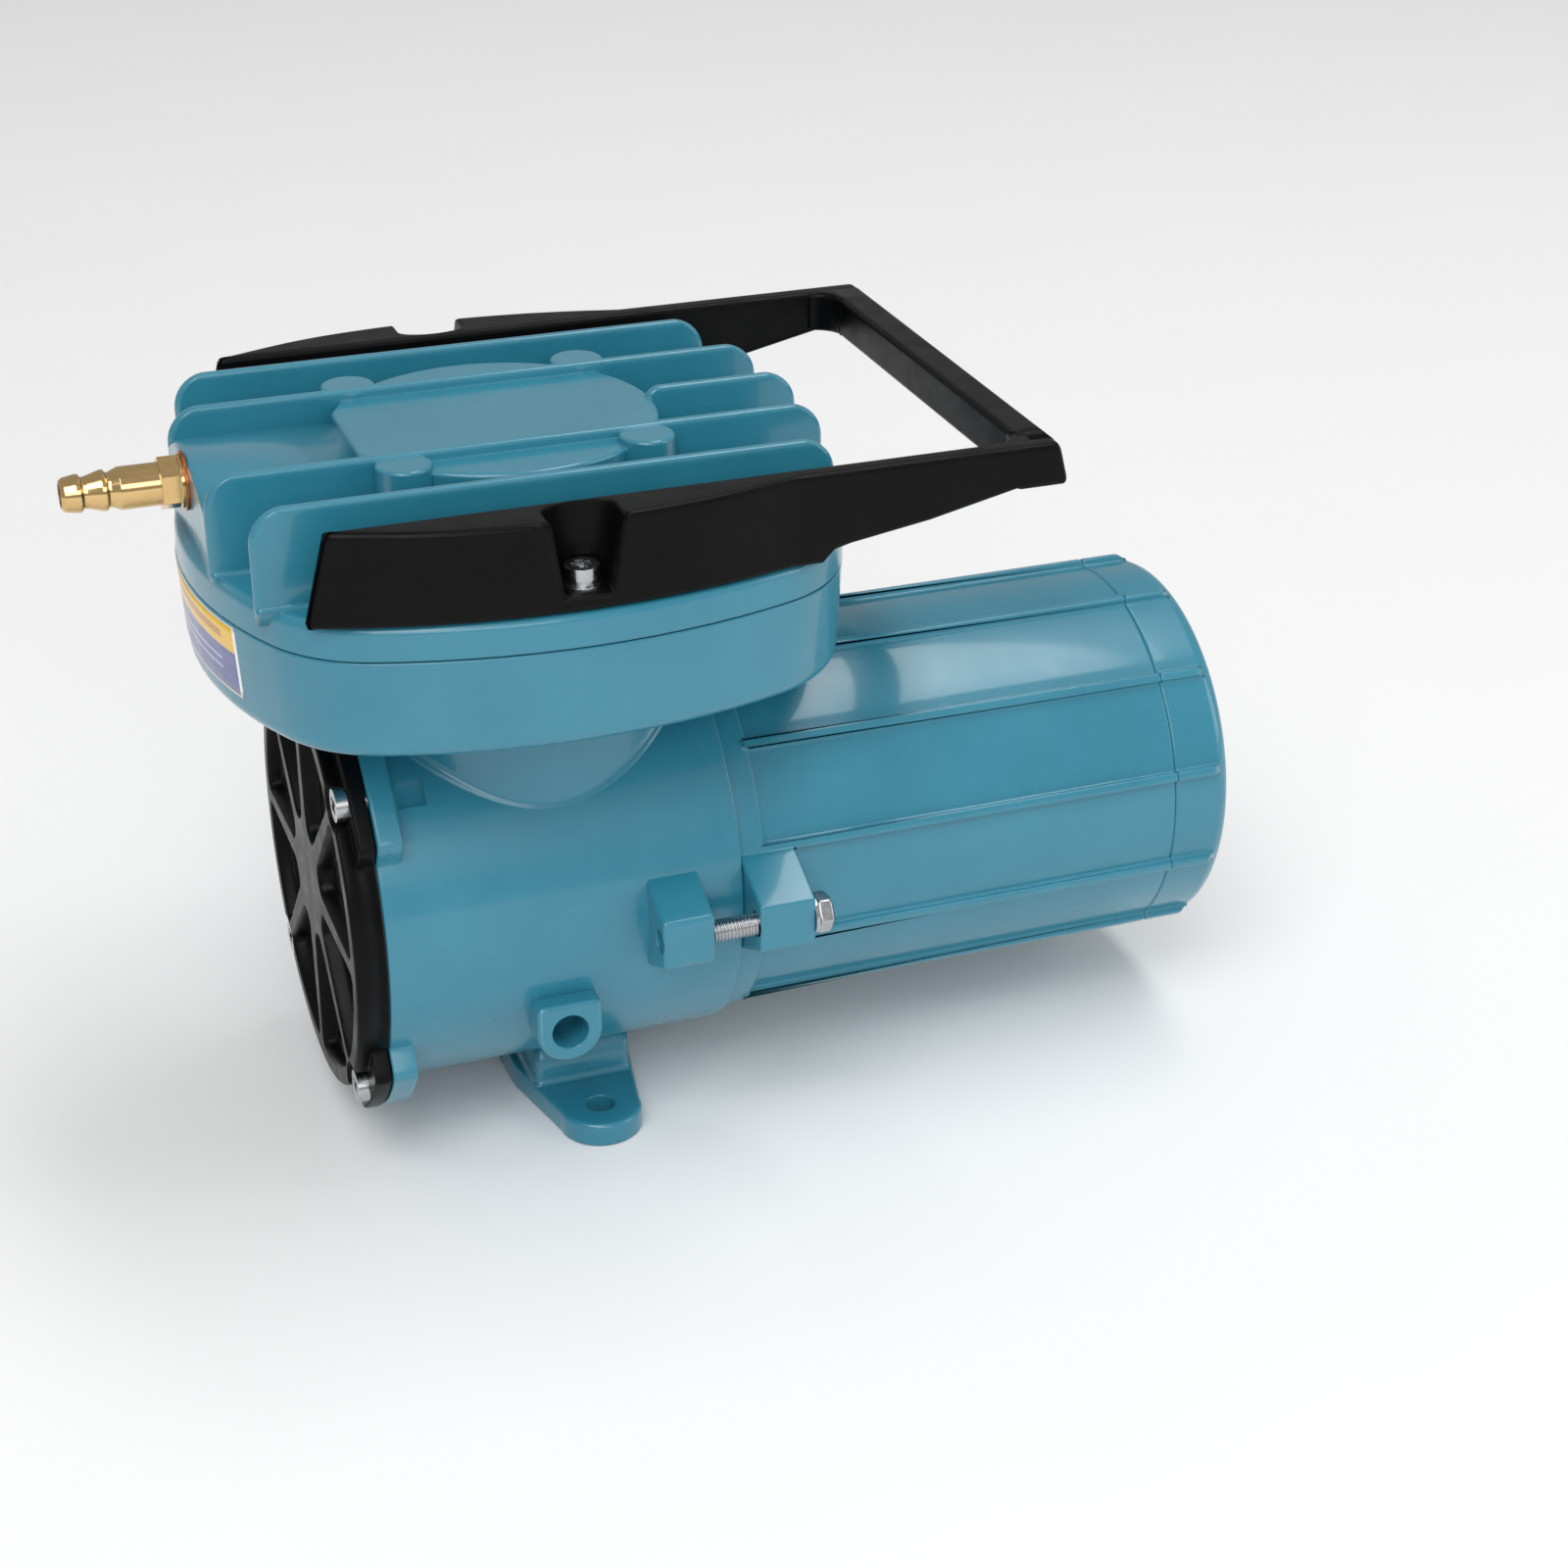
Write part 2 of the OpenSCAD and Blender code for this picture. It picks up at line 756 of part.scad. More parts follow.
module crank_weight() {
  hub_radius = 13;
  weight_radius = 26;
  color(steel) in_place()
    difference() {
      union() {
        x_rod(9, 23, hub_radius);
        // Balance weight opposite the crank pin
        yz_prism(9, 19)
          intersection() {
            circle(weight_radius);
            polygon([[-8, 0], [8, 0], [30, 30], [-30, 30]]);
          }
        translate([0, 0, -crank_throw]) {
          x_rod(6, 10, 8);
          x_rod(-5.5, 7, pin_radius);
        }
      }
      x_rod(12, 24, shaft_radius + fit_gap);
      translate([0, 0, -crank_throw]) x_rod(-6, 4, 1.5 + fit_gap);
      // Threaded hole of the set screw
      z_rod(21, 0, -20, 0, 1.5 + fit_gap);
    }
}

module crank_set_screw() {
  color(steel) in_place() z_rod(21, 0, -12.5, -4.1, 1.5);
}

module crank_pin_washer() {
  color(steel) in_place()
    translate([0, 0, -crank_throw])
      difference() {
        x_rod(-6.5, -5.5, 8);
        x_rod(-7, -5, 1.5 + screw_gap);
      }
}

module crank_pin_screw() {
  color(steel) in_place()
    translate([-6.5, 0, -crank_throw]) pan_head_screw(1.5, 9.5, 3, 2.2);
}

module rod_bearing() {
  color(steel) in_place()
    translate([0, 0, -crank_throw])
      difference() {
        x_rod(-rod_half_width, rod_half_width, 11);
        x_rod(-rod_half_width - overlap, rod_half_width + overlap, pin_radius + fit_gap);
        // Step between the inner and outer rings
        for (x = [-rod_half_width - overlap, rod_half_width - 0.6])
          difference() {
            x_rod(x, x + overlap + 0.6, 9.4);
            x_rod(x - overlap, x + 3, 7.6);
          }
      }
}

module connecting_rod() {
  eye_radius = 15.5;
  shank_half = 6;
  color([0.66, 0.67, 0.69]) in_place()
    difference() {
      union() {
        translate([0, 0, -crank_throw]) x_rod(-rod_half_width, rod_half_width, eye_radius);
        box(-rod_half_width + 1, rod_half_width - 1, -shank_half, shank_half, 0, crown_z0 + 0.5);
        // Flared neck under the crown
        xz_prism(-4, 4)
          polygon([[-4, 38], [4, 38], [15, crown_z0 + 0.5], [-15, crown_z0 + 0.5]]);
        z_rod(0, 0, crown_z0, crown_z1, piston_radius);
      }
      translate([0, 0, -crank_throw])
        x_rod(-rod_half_width - overlap, rod_half_width + overlap, 11 + fit_gap / 2);
      // Lightening pocket in each side of the shank
      for (x = [-rod_half_width, 2])
        box(x, x + 3, -3.5, 3.5, 18, 36);
      ports(crown_z0 - 10, crown_z1 + overlap);
      for (y = [-piston_screw_y, piston_screw_y])
        z_rod(0, y, crown_z0 + 0.6, crown_z1 + overlap, 1.5 + fit_gap);
    }
}

// Cup seal, with a thin lip standing up against the bore
module piston_seal() {
  lip = 0.8;
  color([0.2, 0.2, 0.2]) in_place()
    difference() {
      z_rod(0, 0, crown_z1, piston_top - 0.6, seal_radius);
      z_rod(0, 0, seal_z1, piston_top, seal_radius - lip);
      z_rod(0, 0, crown_z1 - overlap, piston_top, 12);
      for (y = [-piston_screw_y, piston_screw_y])
        z_rod(0, y, crown_z1 - overlap, piston_top, 1.5 + screw_gap);
    }
}

module piston_cap() {
  color(steel) in_place()
    difference() {
      union() {
        z_rod(0, 0, seal_z1, piston_top, seal_radius - 1.6);
        z_rod(0, 0, crown_z1, seal_z1 + 0.5, 11.6);
      }
      ports(crown_z1 - overlap, piston_top + overlap);
      for (y = [-piston_screw_y, piston_screw_y]) {
        z_rod(0, y, crown_z1 - overlap, piston_top + overlap, 1.5 + screw_gap);
        z_rod(0, y, piston_top - cap_recess, piston_top + overlap, 3.1);
      }
      z_rod(reed_screw_x, 0, crown_z1 + 0.6, piston_top + overlap, 1.5 + fit_gap);
    }
}

module piston_cap_screws() {
  color(steel) in_place()
    for (y = [-piston_screw_y, piston_screw_y])
      translate([0, y, piston_top - cap_recess]) upright_screw(1.5, 5.4, 2.8, 1.6);
}

module intake_reed() {
  color(steel) in_place() reed(piston_top + reed_seat_gap);
}

module intake_reed_screw() {
  color(steel) in_place()
    translate([reed_screw_x, 0, piston_top]) upright_screw(1.5, 3.2, 2.8, 1.4);
}

// ---------- motor ----------

// Twelve straight ribs along the motor's outside
module motor_ribs(x0, x1) {
  for (i = [0 : ribs - 1])
    rotate([15 + i * 360 / ribs, 0, 0])
      box(x0, x1, -rib_width / 2, rib_width / 2, panel_radius - 2, rib_radius);
}

module motor_housing() {
  collar_x1 = 45;
  lug_x0 = 126;
  color(teal) in_place()
    difference() {
      union() {
        difference() {
          union() {
            x_rod(case_x1, motor_x1, panel_radius);
            x_rod(case_x1, collar_x1, rib_radius);
            motor_ribs(collar_x1 - overlap, motor_x1);
            both_sides() ear(case_x1, motor_ear_x1);
          }
          x_rod(case_x1 - overlap, motor_x1 + overlap, housing_bore);
        }
        // Inner lugs for the end cap screws
        both_sides()
          intersection() {
            translate([0, cap_screw_y, 0]) x_rod(lug_x0, motor_x1, 5);
            x_rod(lug_x0, motor_x1, housing_bore + 1);
          }
      }
      both_sides()
        translate([0, ear_bolt_y, 0])
          x_rod(case_x1 - overlap, 60, 2.5 + screw_gap);
      both_sides()
        translate([0, cap_screw_y, 0])
          x_rod(lug_x0 - overlap, motor_x1 + overlap, 2 + fit_gap);
    }
}

module motor_end_cap() {
  cap_wall = 5;
  face_x = cap_x1 - cap_wall;
  seat_x1 = rear_bearing_x + bearing_width + 1;
  color(teal) in_place()
    difference() {
      union() {
        difference() {
          union() {
            x_rod(motor_x1, cap_rib_x1, panel_radius);
            // Rounded outer edge of the end face
            translate([cap_rib_x1 - 1, 0, 0]) rotate([0, 90, 0])
              rotate_extrude($fn = 160)
                union() {
                  square([panel_radius - 4, 5]);
                  square([panel_radius, 1]);
                  translate([panel_radius - 4, 1]) intersection() {
                    circle(4);
                    square([4, 4]);
                  }
                }
            // Ribs that end in a slope over the rounded edge
            for (i = [0 : ribs - 1])
              rotate([15 + i * 360 / ribs, 0, 0])
                xz_prism(-rib_width / 2, rib_width / 2)
                  polygon([[motor_x1, panel_radius - 3], [motor_x1, rib_radius],
                    [cap_rib_x1 - 1, rib_radius], [cap_x1 - 0.5, rib_radius - 4.2],
                    [cap_x1 - 0.5, panel_radius - 6], [cap_x1 - 4, panel_radius - 6]]);
          }
          x_rod(motor_x1 - overlap, face_x, housing_bore);
        }
        // Boss around the rear bearing
        x_rod(rear_bearing_x - 1, face_x + overlap, bearing_radius + 4);
        both_sides() translate([0, cap_screw_y, 0]) x_rod(motor_x1, face_x + overlap, 5);
      }
      x_rod(rear_bearing_x - 2, seat_x1, bearing_radius + fit_gap);
      x_rod(rear_bearing_x, face_x + 1, 6);
      both_sides() translate([0, cap_screw_y, 0]) {
        x_rod(motor_x1 - overlap, cap_x1 + overlap, 2 + screw_gap);
        x_rod(cap_x1 - 3.2, cap_x1 + overlap, 4);
      }
      translate([0, 0, grommet_z]) x_rod(face_x - overlap, cap_x1 + overlap, 5.5);
    }
}

module end_cap_screws() {
  color(steel) in_place()
    both_sides()
      translate([cap_x1 - 3.2, cap_screw_y, 0])
        mirror([1, 0, 0]) pan_head_screw(2, 26, 3.6, 2.6);
}

module tie_washers() {
  color(steel) in_place()
    both_sides()
      translate([0, -ear_bolt_y, 0])
        difference() {
          x_rod(motor_ear_x1, motor_ear_x1 + tie_washer_thickness, 4.4);
          x_rod(motor_ear_x1 - overlap, motor_ear_x1 + 2, 2.5 + screw_gap);
        }
}

module tie_bolts() {
  hex_across_flats = 8;
  color(steel) in_place()
    both_sides()
      translate([motor_ear_x1 + tie_washer_thickness, -ear_bolt_y, 0]) {
        x_rod(-35.8, 0.1, 2.5);
        rotate([0, 90, 0])
          cylinder(h = 3.5, r = hex_across_flats / 2 / cos(30), $fn = 6);
      }
}

// A sealed ball bearing of the common 8 by 22 by 7 size
module ball_bearing(x0) {
  difference() {
    x_rod(x0, x0 + bearing_width, bearing_radius);
    x_rod(x0 - overlap, x0 + bearing_width + overlap, shaft_radius + fit_gap);
    for (x = [x0 - overlap, x0 + bearing_width - 0.5])
      difference() {
        x_rod(x, x + overlap + 0.5, 9);
        x_rod(x - overlap, x + 3, 6);
      }
  }
}

module front_bearing() {
  color(steel) in_place() ball_bearing(front_bearing_x);
}

module rear_bearing() {
  color(steel) in_place() ball_bearing(rear_bearing_x);
}

module bearing_wave_washer() {
  x0 = rear_bearing_x + bearing_width + 0.2;
  color(steel) in_place()
    difference() {
      x_rod(x0, x0 + 0.6, bearing_radius - 0.3);
      x_rod(x0 - overlap, x0 + 2, 8);
    }
}

module flux_ring() {
  color([0.45, 0.46, 0.48]) in_place()
    difference() {
      x_rod(60, 120, housing_bore - fit_gap);
      x_rod(59, 121, 37);
    }
}

// One arc magnet of 130 degrees
module magnet() {
  reach = 60;
  yz_prism(63, 117)
    intersection() {
      difference() {
        circle(37 - fit_gap);
        circle(31);
      }
      polygon([[0, 0], [reach * cos(25), reach * sin(25)], [reach, reach], [-reach, reach],
        [-reach * cos(25), reach * sin(25)]]);
    }
}

module upper_magnet() {
  color([0.25, 0.25, 0.27]) in_place() magnet();
}

module lower_magnet() {
  color([0.25, 0.25, 0.27]) in_place() mirror([0, 0, 1]) magnet();
}

module motor_shaft() {
  color(steel) in_place() x_rod(12.5, 153.5, shaft_radius);
}

module armature_slots(inner, outer, half_width, x0, x1) {
  for (i = [0 : slots - 1])
    rotate([i * 360 / slots, 0, 0])
      box(x0, x1, -half_width, half_width, inner, outer);
}

module armature_core() {
  color([0.4, 0.41, 0.43]) in_place()
    difference() {
      x_rod(core_x0, core_x1, core_radius);
      x_rod(core_x0 - overlap, core_x1 + overlap, shaft_radius + fit_gap);
      armature_slots(15, 27, 2.5, core_x0 - overlap, core_x1 + overlap);
      armature_slots(26, 32, 1, core_x0 - overlap, core_x1 + overlap);
    }
}

// Copper in the slots, joined by a bundle at each end of the core
module armature_windings() {
  gap = 0.2;
  color(copper) in_place()
    union() {
      armature_slots(15 + gap, 27 - gap, 2.5 - gap, core_x0 - 6, core_x1 + 6);
      for (x = [core_x0 - 9, core_x1 + gap])
        difference() {
          x_rod(x, x + 9 - gap, 27);
          x_rod(x - overlap, x + 10, 9);
        }
    }
}

module commutator() {
  bars = 12;
  color(copper) in_place()
    difference() {
      x_rod(commutator_x0, commutator_x1, commutator_radius);
      x_rod(commutator_x0 - overlap, commutator_x1 + overlap, shaft_radius + fit_gap);
      for (i = [0 : bars - 1])
        rotate([i * 360 / bars + 15, 0, 0])
          box(commutator_x0 - overlap, commutator_x1 + overlap, -0.3, 0.3,
            commutator_radius - 1, commutator_radius + overlap);
    }
}

module brush_plate() {
  color([0.45, 0.28, 0.16]) in_place()
    difference() {
      x_rod(plate_x0, plate_x1, 39.7);
      x_rod(plate_x0 - overlap, plate_x1 + overlap, 13);
      both_sides() {
        translate([0, cap_screw_y, 0]) x_rod(plate_x0 - overlap, plate_x1 + overlap, 5.4);
        box(plate_x0 - overlap, plate_x1 + overlap, cap_screw_y, 41, -5.4, 5.4);
      }
    }
}

module upper_brush() {
  color([0.15, 0.15, 0.16]) in_place()
    difference() {
      box(brush_x - brush_size[0] / 2, brush_x + brush_size[0] / 2,
        -brush_size[1] / 2, brush_size[1] / 2, brush_z0, brush_z1);
      x_rod(brush_x - 10, brush_x + 10, commutator_radius + 0.06);
    }
}

module lower_brush() {
  mirror_through_shaft() upper_brush();
}

// Mirrors a placed part about the shaft's height
module mirror_through_shaft() {
  translate([0, 0, 2 * shaft_height]) mirror([0, 0, 1]) children();
}

// A brass box that guides a brush, closed at its outer end
module upper_brush_holder() {
  wall = 1.2;
  gap = 0.1;
  hx = brush_size[0] / 2 + gap;
  hy = brush_size[1] / 2 + gap;
  color(brass) in_place()
    difference() {
      union() {
        box(brush_x - hx - wall, brush_x + hx + wall, -hy - wall, hy + wall, 14, spring_z1 + wall);
        box(brush_x + hx, plate_x0, -hy - wall, hy + wall, 18, 30);
      }
      box(brush_x - hx, brush_x + hx, -hy, hy, 13, spring_z1);
    }
}

module lower_brush_holder() {
  mirror_through_shaft() upper_brush_holder();
}

// Coils between the brush and the closed end of its holder
module upper_brush_spring() {
  wire = 0.4;
  coil_radius = 1.9;
  coils = 6;
  low = brush_z1 + wire;
  pitch = (spring_z1 - wire - low) / (coils - 1);
  color(steel) in_place()
    translate([brush_x, 0, 0])
      union() {
        for (i = [0 : coils - 1])
          translate([0, 0, low + i * pitch])
            rotate_extrude($fn = 32) translate([coil_radius, 0]) circle(wire, $fn = 16);
        z_rod(coil_radius, 0, low, spring_z1 - wire, wire * 0.8);
      }
}

module lower_brush_spring() {
  mirror_through_shaft() upper_brush_spring();
}

module cable_grommet() {
  color(rubber) in_place()
    translate([0, 0, grommet_z])
      difference() {
        union() {
          x_rod(cap_x1 - 5, cap_x1, 5.5 - fit_gap);
          x_rod(cap_x1, cap_x1 + 1.5, 7);
          x_rod(cap_x1 - 6.5, cap_x1 - 5, 7);
        }
        x_rod(cap_x1 - 10, cap_x1 + 5, 3);
      }
}

crankcase();
end_cover_gasket();
end_cover();
end_cover_screws();
cylinder_liner();
lower_pan();
pan_screws();
head_gasket();
valve_gasket();
valve_plate();
exhaust_reed();
exhaust_reed_screw();
head_screws();
head_cover();
rim_screws();
barb_washer();
outlet_barb();
handle();
handle_flat_washers();
handle_spring_washers();
handle_screws();
nameplate();
crank_weight();
crank_set_screw();
crank_pin_washer();
crank_pin_screw();
rod_bearing();
connecting_rod();
piston_seal();
piston_cap();
piston_cap_screws();
intake_reed();
intake_reed_screw();
motor_housing();
motor_end_cap();
end_cap_screws();
tie_washers();
tie_bolts();
front_bearing();
rear_bearing();
bearing_wave_washer();
flux_ring();
upper_magnet();
lower_magnet();
motor_shaft();
armature_core();
armature_windings();
commutator();
brush_plate();
upper_brush_holder();
lower_brush_holder();
upper_brush();
lower_brush();
upper_brush_spring();
lower_brush_spring();
cable_grommet();
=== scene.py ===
"""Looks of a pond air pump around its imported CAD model. Metres, in the model's own frame:
+X along the motor shaft towards the motor's tail, -Y the near side, +Z up, feet on z = 0."""

import json
import math

import bmesh
import bpy
from mathutils import Matrix, Vector

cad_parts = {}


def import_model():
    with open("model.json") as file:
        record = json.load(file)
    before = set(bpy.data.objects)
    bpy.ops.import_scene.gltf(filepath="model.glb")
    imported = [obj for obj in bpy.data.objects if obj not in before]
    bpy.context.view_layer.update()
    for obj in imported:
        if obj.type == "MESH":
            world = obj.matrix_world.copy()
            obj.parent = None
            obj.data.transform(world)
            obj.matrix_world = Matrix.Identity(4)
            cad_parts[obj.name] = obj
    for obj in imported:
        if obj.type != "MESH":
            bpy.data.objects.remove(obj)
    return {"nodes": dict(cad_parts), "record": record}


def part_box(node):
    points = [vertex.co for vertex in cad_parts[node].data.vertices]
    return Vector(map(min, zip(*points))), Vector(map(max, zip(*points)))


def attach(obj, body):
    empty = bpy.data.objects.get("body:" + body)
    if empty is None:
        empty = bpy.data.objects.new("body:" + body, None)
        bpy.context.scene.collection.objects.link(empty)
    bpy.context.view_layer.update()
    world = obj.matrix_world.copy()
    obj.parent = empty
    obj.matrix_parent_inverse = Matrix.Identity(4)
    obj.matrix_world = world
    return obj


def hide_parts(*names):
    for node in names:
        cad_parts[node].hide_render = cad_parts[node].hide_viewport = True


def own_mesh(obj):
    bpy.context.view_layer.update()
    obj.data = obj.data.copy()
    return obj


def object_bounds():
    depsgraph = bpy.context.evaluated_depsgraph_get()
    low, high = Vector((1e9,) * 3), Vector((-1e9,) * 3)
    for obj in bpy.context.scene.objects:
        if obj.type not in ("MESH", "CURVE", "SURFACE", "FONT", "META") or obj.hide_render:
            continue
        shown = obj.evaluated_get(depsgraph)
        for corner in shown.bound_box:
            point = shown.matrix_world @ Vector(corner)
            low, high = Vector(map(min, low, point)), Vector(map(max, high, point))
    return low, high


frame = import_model()
cad_lo, cad_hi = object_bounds()
MM = 0.001

# ---------------------------------------------------------------- materials


def srgb(r, g, b):
    """A linear colour from 0-255 screen values."""
    def one(c):
        c /= 255
        return c / 12.92 if c <= 0.04045 else ((c + 0.055) / 1.055) ** 2.4
    return (one(r), one(g), one(b), 1)


class Finish:
    """A node material under construction. Textures are placed by the object's own coordinates, in metres."""

    def __init__(self, name, **sockets):
        self.material = bpy.data.materials.new(name)
        self.material.use_nodes = True
        self.tree = self.material.node_tree
        self.tree.nodes.clear()
        self.shader = self.add("ShaderNodeBsdfPrincipled")
        output = self.add("ShaderNodeOutputMaterial")
        self.link(self.shader.outputs[0], output.inputs[0])
        self.place = self.add("ShaderNodeTexCoord").outputs["Object"]
        for socket, value in sockets.items():
            self.shader.inputs[socket.replace("_", " ")].default_value = value
        self.normal = None

    def add(self, kind, **settings):
        made = self.tree.nodes.new(kind)
        for name, value in settings.items():
            setattr(made, name, value)
        return made

    def link(self, a, b):
        self.tree.links.new(a, b)

    def noise(self, scale, detail=2.0, roughness=0.5, stretch=(1, 1, 1)):
        """Fractal noise of about 1/scale metres; stretch above 1 makes it finer along that axis."""
        place = self.place
        if stretch != (1, 1, 1):
            mapping = self.add("ShaderNodeMapping")
            mapping.inputs["Scale"].default_value = stretch
            self.link(place, mapping.inputs["Vector"])
            place = mapping.outputs[0]
        made = self.add("ShaderNodeTexNoise")
        made.inputs["Scale"].default_value = scale
        made.inputs["Detail"].default_value = detail
        made.inputs["Roughness"].default_value = roughness
        self.link(place, made.inputs["Vector"])
        return made.outputs["Fac"]

    def math(self, operation, a, b=0.0):
        made = self.add("ShaderNodeMath", operation=operation)
        for value, socket in ((a, made.inputs[0]), (b, made.inputs[1])):
            if isinstance(value, (int, float)):
                socket.default_value = value
            else:
                self.link(value, socket)
        return made.outputs[0]

    def remap(self, value, low, high, to_low, to_high):
        made = self.add("ShaderNodeMapRange")
        for name, number in (("From Min", low), ("From Max", high), ("To Min", to_low), ("To Max", to_high)):
            made.inputs[name].default_value = number
        self.link(value, made.inputs["Value"])
        return made.outputs[0]

    def mix(self, factor, a, b):
        """Blends colour a into colour b by a 0-1 factor."""
        made = self.add("ShaderNodeMix", data_type="RGBA")
        self.link(factor, made.inputs["Factor"])
        for value, socket in ((a, made.inputs["A"]), (b, made.inputs["B"])):
            if isinstance(value, tuple):
                socket.default_value = value
            else:
                self.link(value, socket)
        return made.outputs["Result"]

    def round_edges(self, radius):
        """Softens the shading of hard edges."""
        made = self.add("ShaderNodeBevel", samples=4)
        made.inputs["Radius"].default_value = radius
        self.normal = made.outputs[0]

    def bump(self, height, depth, strength=1.0):
        """Adds relief: depth is the height in metres of a full step."""
        made = self.add("ShaderNodeBump")
        made.inputs["Strength"].default_value = strength
        made.inputs["Distance"].default_value = depth
        self.link(height, made.inputs["Height"])
        if self.normal:
            self.link(self.normal, made.inputs["Normal"])
        self.normal = made.outputs[0]

    def done(self, color=None, roughness=None):
        if color is not None:
            self.link(color, self.shader.inputs["Base Color"])
        if roughness is not None:
            self.link(roughness, self.shader.inputs["Roughness"])
        if self.normal:
            self.link(self.normal, self.shader.inputs["Normal"])
        return self.material


def teal_enamel():
    """Glossy sprayed enamel over a casting."""
    f = Finish("teal_enamel", Coat_Weight=0.5, Coat_Roughness=0.07, IOR=1.5)
    f.round_edges(0.5 * MM)
    f.bump(f.noise(260, 2), 0.03 * MM, 0.3)
    f.bump(f.noise(1400, 2), 0.01 * MM, 0.3)
    tone = f.remap(f.noise(35, 4, 0.6), 0.3, 0.7, 0, 1)
    color = f.mix(tone, srgb(40, 121, 144), srgb(48, 129, 152))
    return f.done(color, f.remap(f.noise(90, 4, 0.6), 0.3, 0.7, 0.24, 0.36))


def black_plastic():
    """Moulded nylon with a fine grain."""
    f = Finish("black_plastic", IOR=1.2)
    f.round_edges(0.4 * MM)
    f.bump(f.noise(2600, 2), 0.02 * MM, 0.35)
    f.bump(f.noise(120, 3), 0.05 * MM, 0.2)
    tone = f.remap(f.noise(60, 4, 0.6), 0.3, 0.7, 0, 1)
    color = f.mix(tone, srgb(8, 8, 9), srgb(13, 13, 14))
    return f.done(color, f.remap(f.noise(150, 5, 0.65), 0.3, 0.7, 0.27, 0.42))


def black_rubber():
    f = Finish("black_rubber", IOR=1.5)
    f.bump(f.noise(1800, 3), 0.02 * MM, 0.5)
    color = f.mix(f.noise(200, 4), srgb(18, 18, 18), srgb(34, 34, 33))
    return f.done(color, f.remap(f.noise(300, 3), 0.3, 0.7, 0.5, 0.7))


def metal(name, dark, light, rough, grain=(1, 1, 1), edge=0.15):
    """Bare or plated metal with fine tool marks along the axes where grain is low."""
    f = Finish(name, Metallic=1.0)
    f.round_edges(edge * MM)
    lines = f.noise(900, 3, 0.6, grain)
    f.bump(lines, 0.01 * MM, 0.25)
    color = f.mix(f.noise(160, 4, 0.6), dark, light)
    return f.done(color, f.remap(lines, 0.3, 0.7, rough * 0.75, rough * 1.3))


def plain(name, dark, light, rough, relief=0.02, scale=700):
    """Hard non-metal stuff with a mottled tone."""
    f = Finish(name)
    f.bump(f.noise(scale, 3), relief * MM, 0.4)
    color = f.mix(f.remap(f.noise(scale / 4, 4), 0.3, 0.7, 0, 1), dark, light)
    return f.done(color, f.remap(f.noise(scale / 2, 3), 0.3, 0.7, rough * 0.8, rough * 1.2))


def laminated_iron():
    """Stacked sheets, seen as fine rings along the shaft."""
    f = Finish("laminated_iron", Metallic=1.0)
    wave = f.add("ShaderNodeTexWave", bands_direction="X")
    wave.inputs["Scale"].default_value = 600
    f.link(f.place, wave.inputs["Vector"])
    f.bump(wave.outputs["Fac"], 0.05 * MM, 0.6)
    color = f.mix(wave.outputs["Fac"], srgb(60, 60, 64), srgb(128, 128, 132))
    return f.done(color, f.remap(f.noise(300, 3), 0.3, 0.7, 0.35, 0.5))


def label_film():
    """A printed film: a white border, a yellow band above and a violet-blue field with plain bars below."""
    lo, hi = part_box("nameplate")
    f = Finish("label_film", Coat_Weight=0.4, Coat_Roughness=0.1)
    split = f.add("ShaderNodeSeparateXYZ")
    f.link(f.place, split.inputs[0])
    y, z = split.outputs["Y"], split.outputs["Z"]
    border = 0.6 * MM
    band = lo.z + 0.62 * (hi.z - lo.z)

    def between(value, low, high):
        above = f.math("GREATER_THAN", value, low)
        below = f.math("LESS_THAN", value, high)
        return f.math("MULTIPLY", above, below)

    inside = f.math("MULTIPLY", between(y, lo.y + border, hi.y - border),
                    between(z, lo.z + border, hi.z - 0.25 * MM))
    upper = f.math("GREATER_THAN", z, band)
    print_tone = f.remap(f.noise(300, 3), 0.3, 0.7, 0, 1)
    lower_field = f.mix(print_tone, srgb(84, 90, 146), srgb(98, 104, 158))
    upper_field = f.mix(print_tone, srgb(232, 184, 52), srgb(240, 196, 70))
    field = f.mix(upper, lower_field, upper_field)
    rows = f.math("FRACT", f.math("DIVIDE", f.math("SUBTRACT", z, lo.z), 2.1 * MM))
    bars = f.math("MULTIPLY", f.math("LESS_THAN", rows, 0.28),
                  between(z, lo.z + 3.5 * MM, band - 1.6 * MM))
    bars = f.math("MULTIPLY", bars, between(y, lo.y + 7 * MM, hi.y - 10 * MM))
    field = f.mix(bars, field, srgb(176, 180, 212))
    stripe = f.math("MULTIPLY", between(z, band + 1.8 * MM, band + 3.6 * MM),
                    between(y, lo.y + 6 * MM, hi.y - 8 * MM))
    field = f.mix(stripe, field, srgb(190, 132, 40))
    color = f.mix(inside, srgb(236, 236, 234), field)
    f.bump(f.noise(500, 2), 0.01 * MM, 0.2)
    return f.done(color, f.remap(f.noise(200, 3), 0.3, 0.7, 0.25, 0.38))


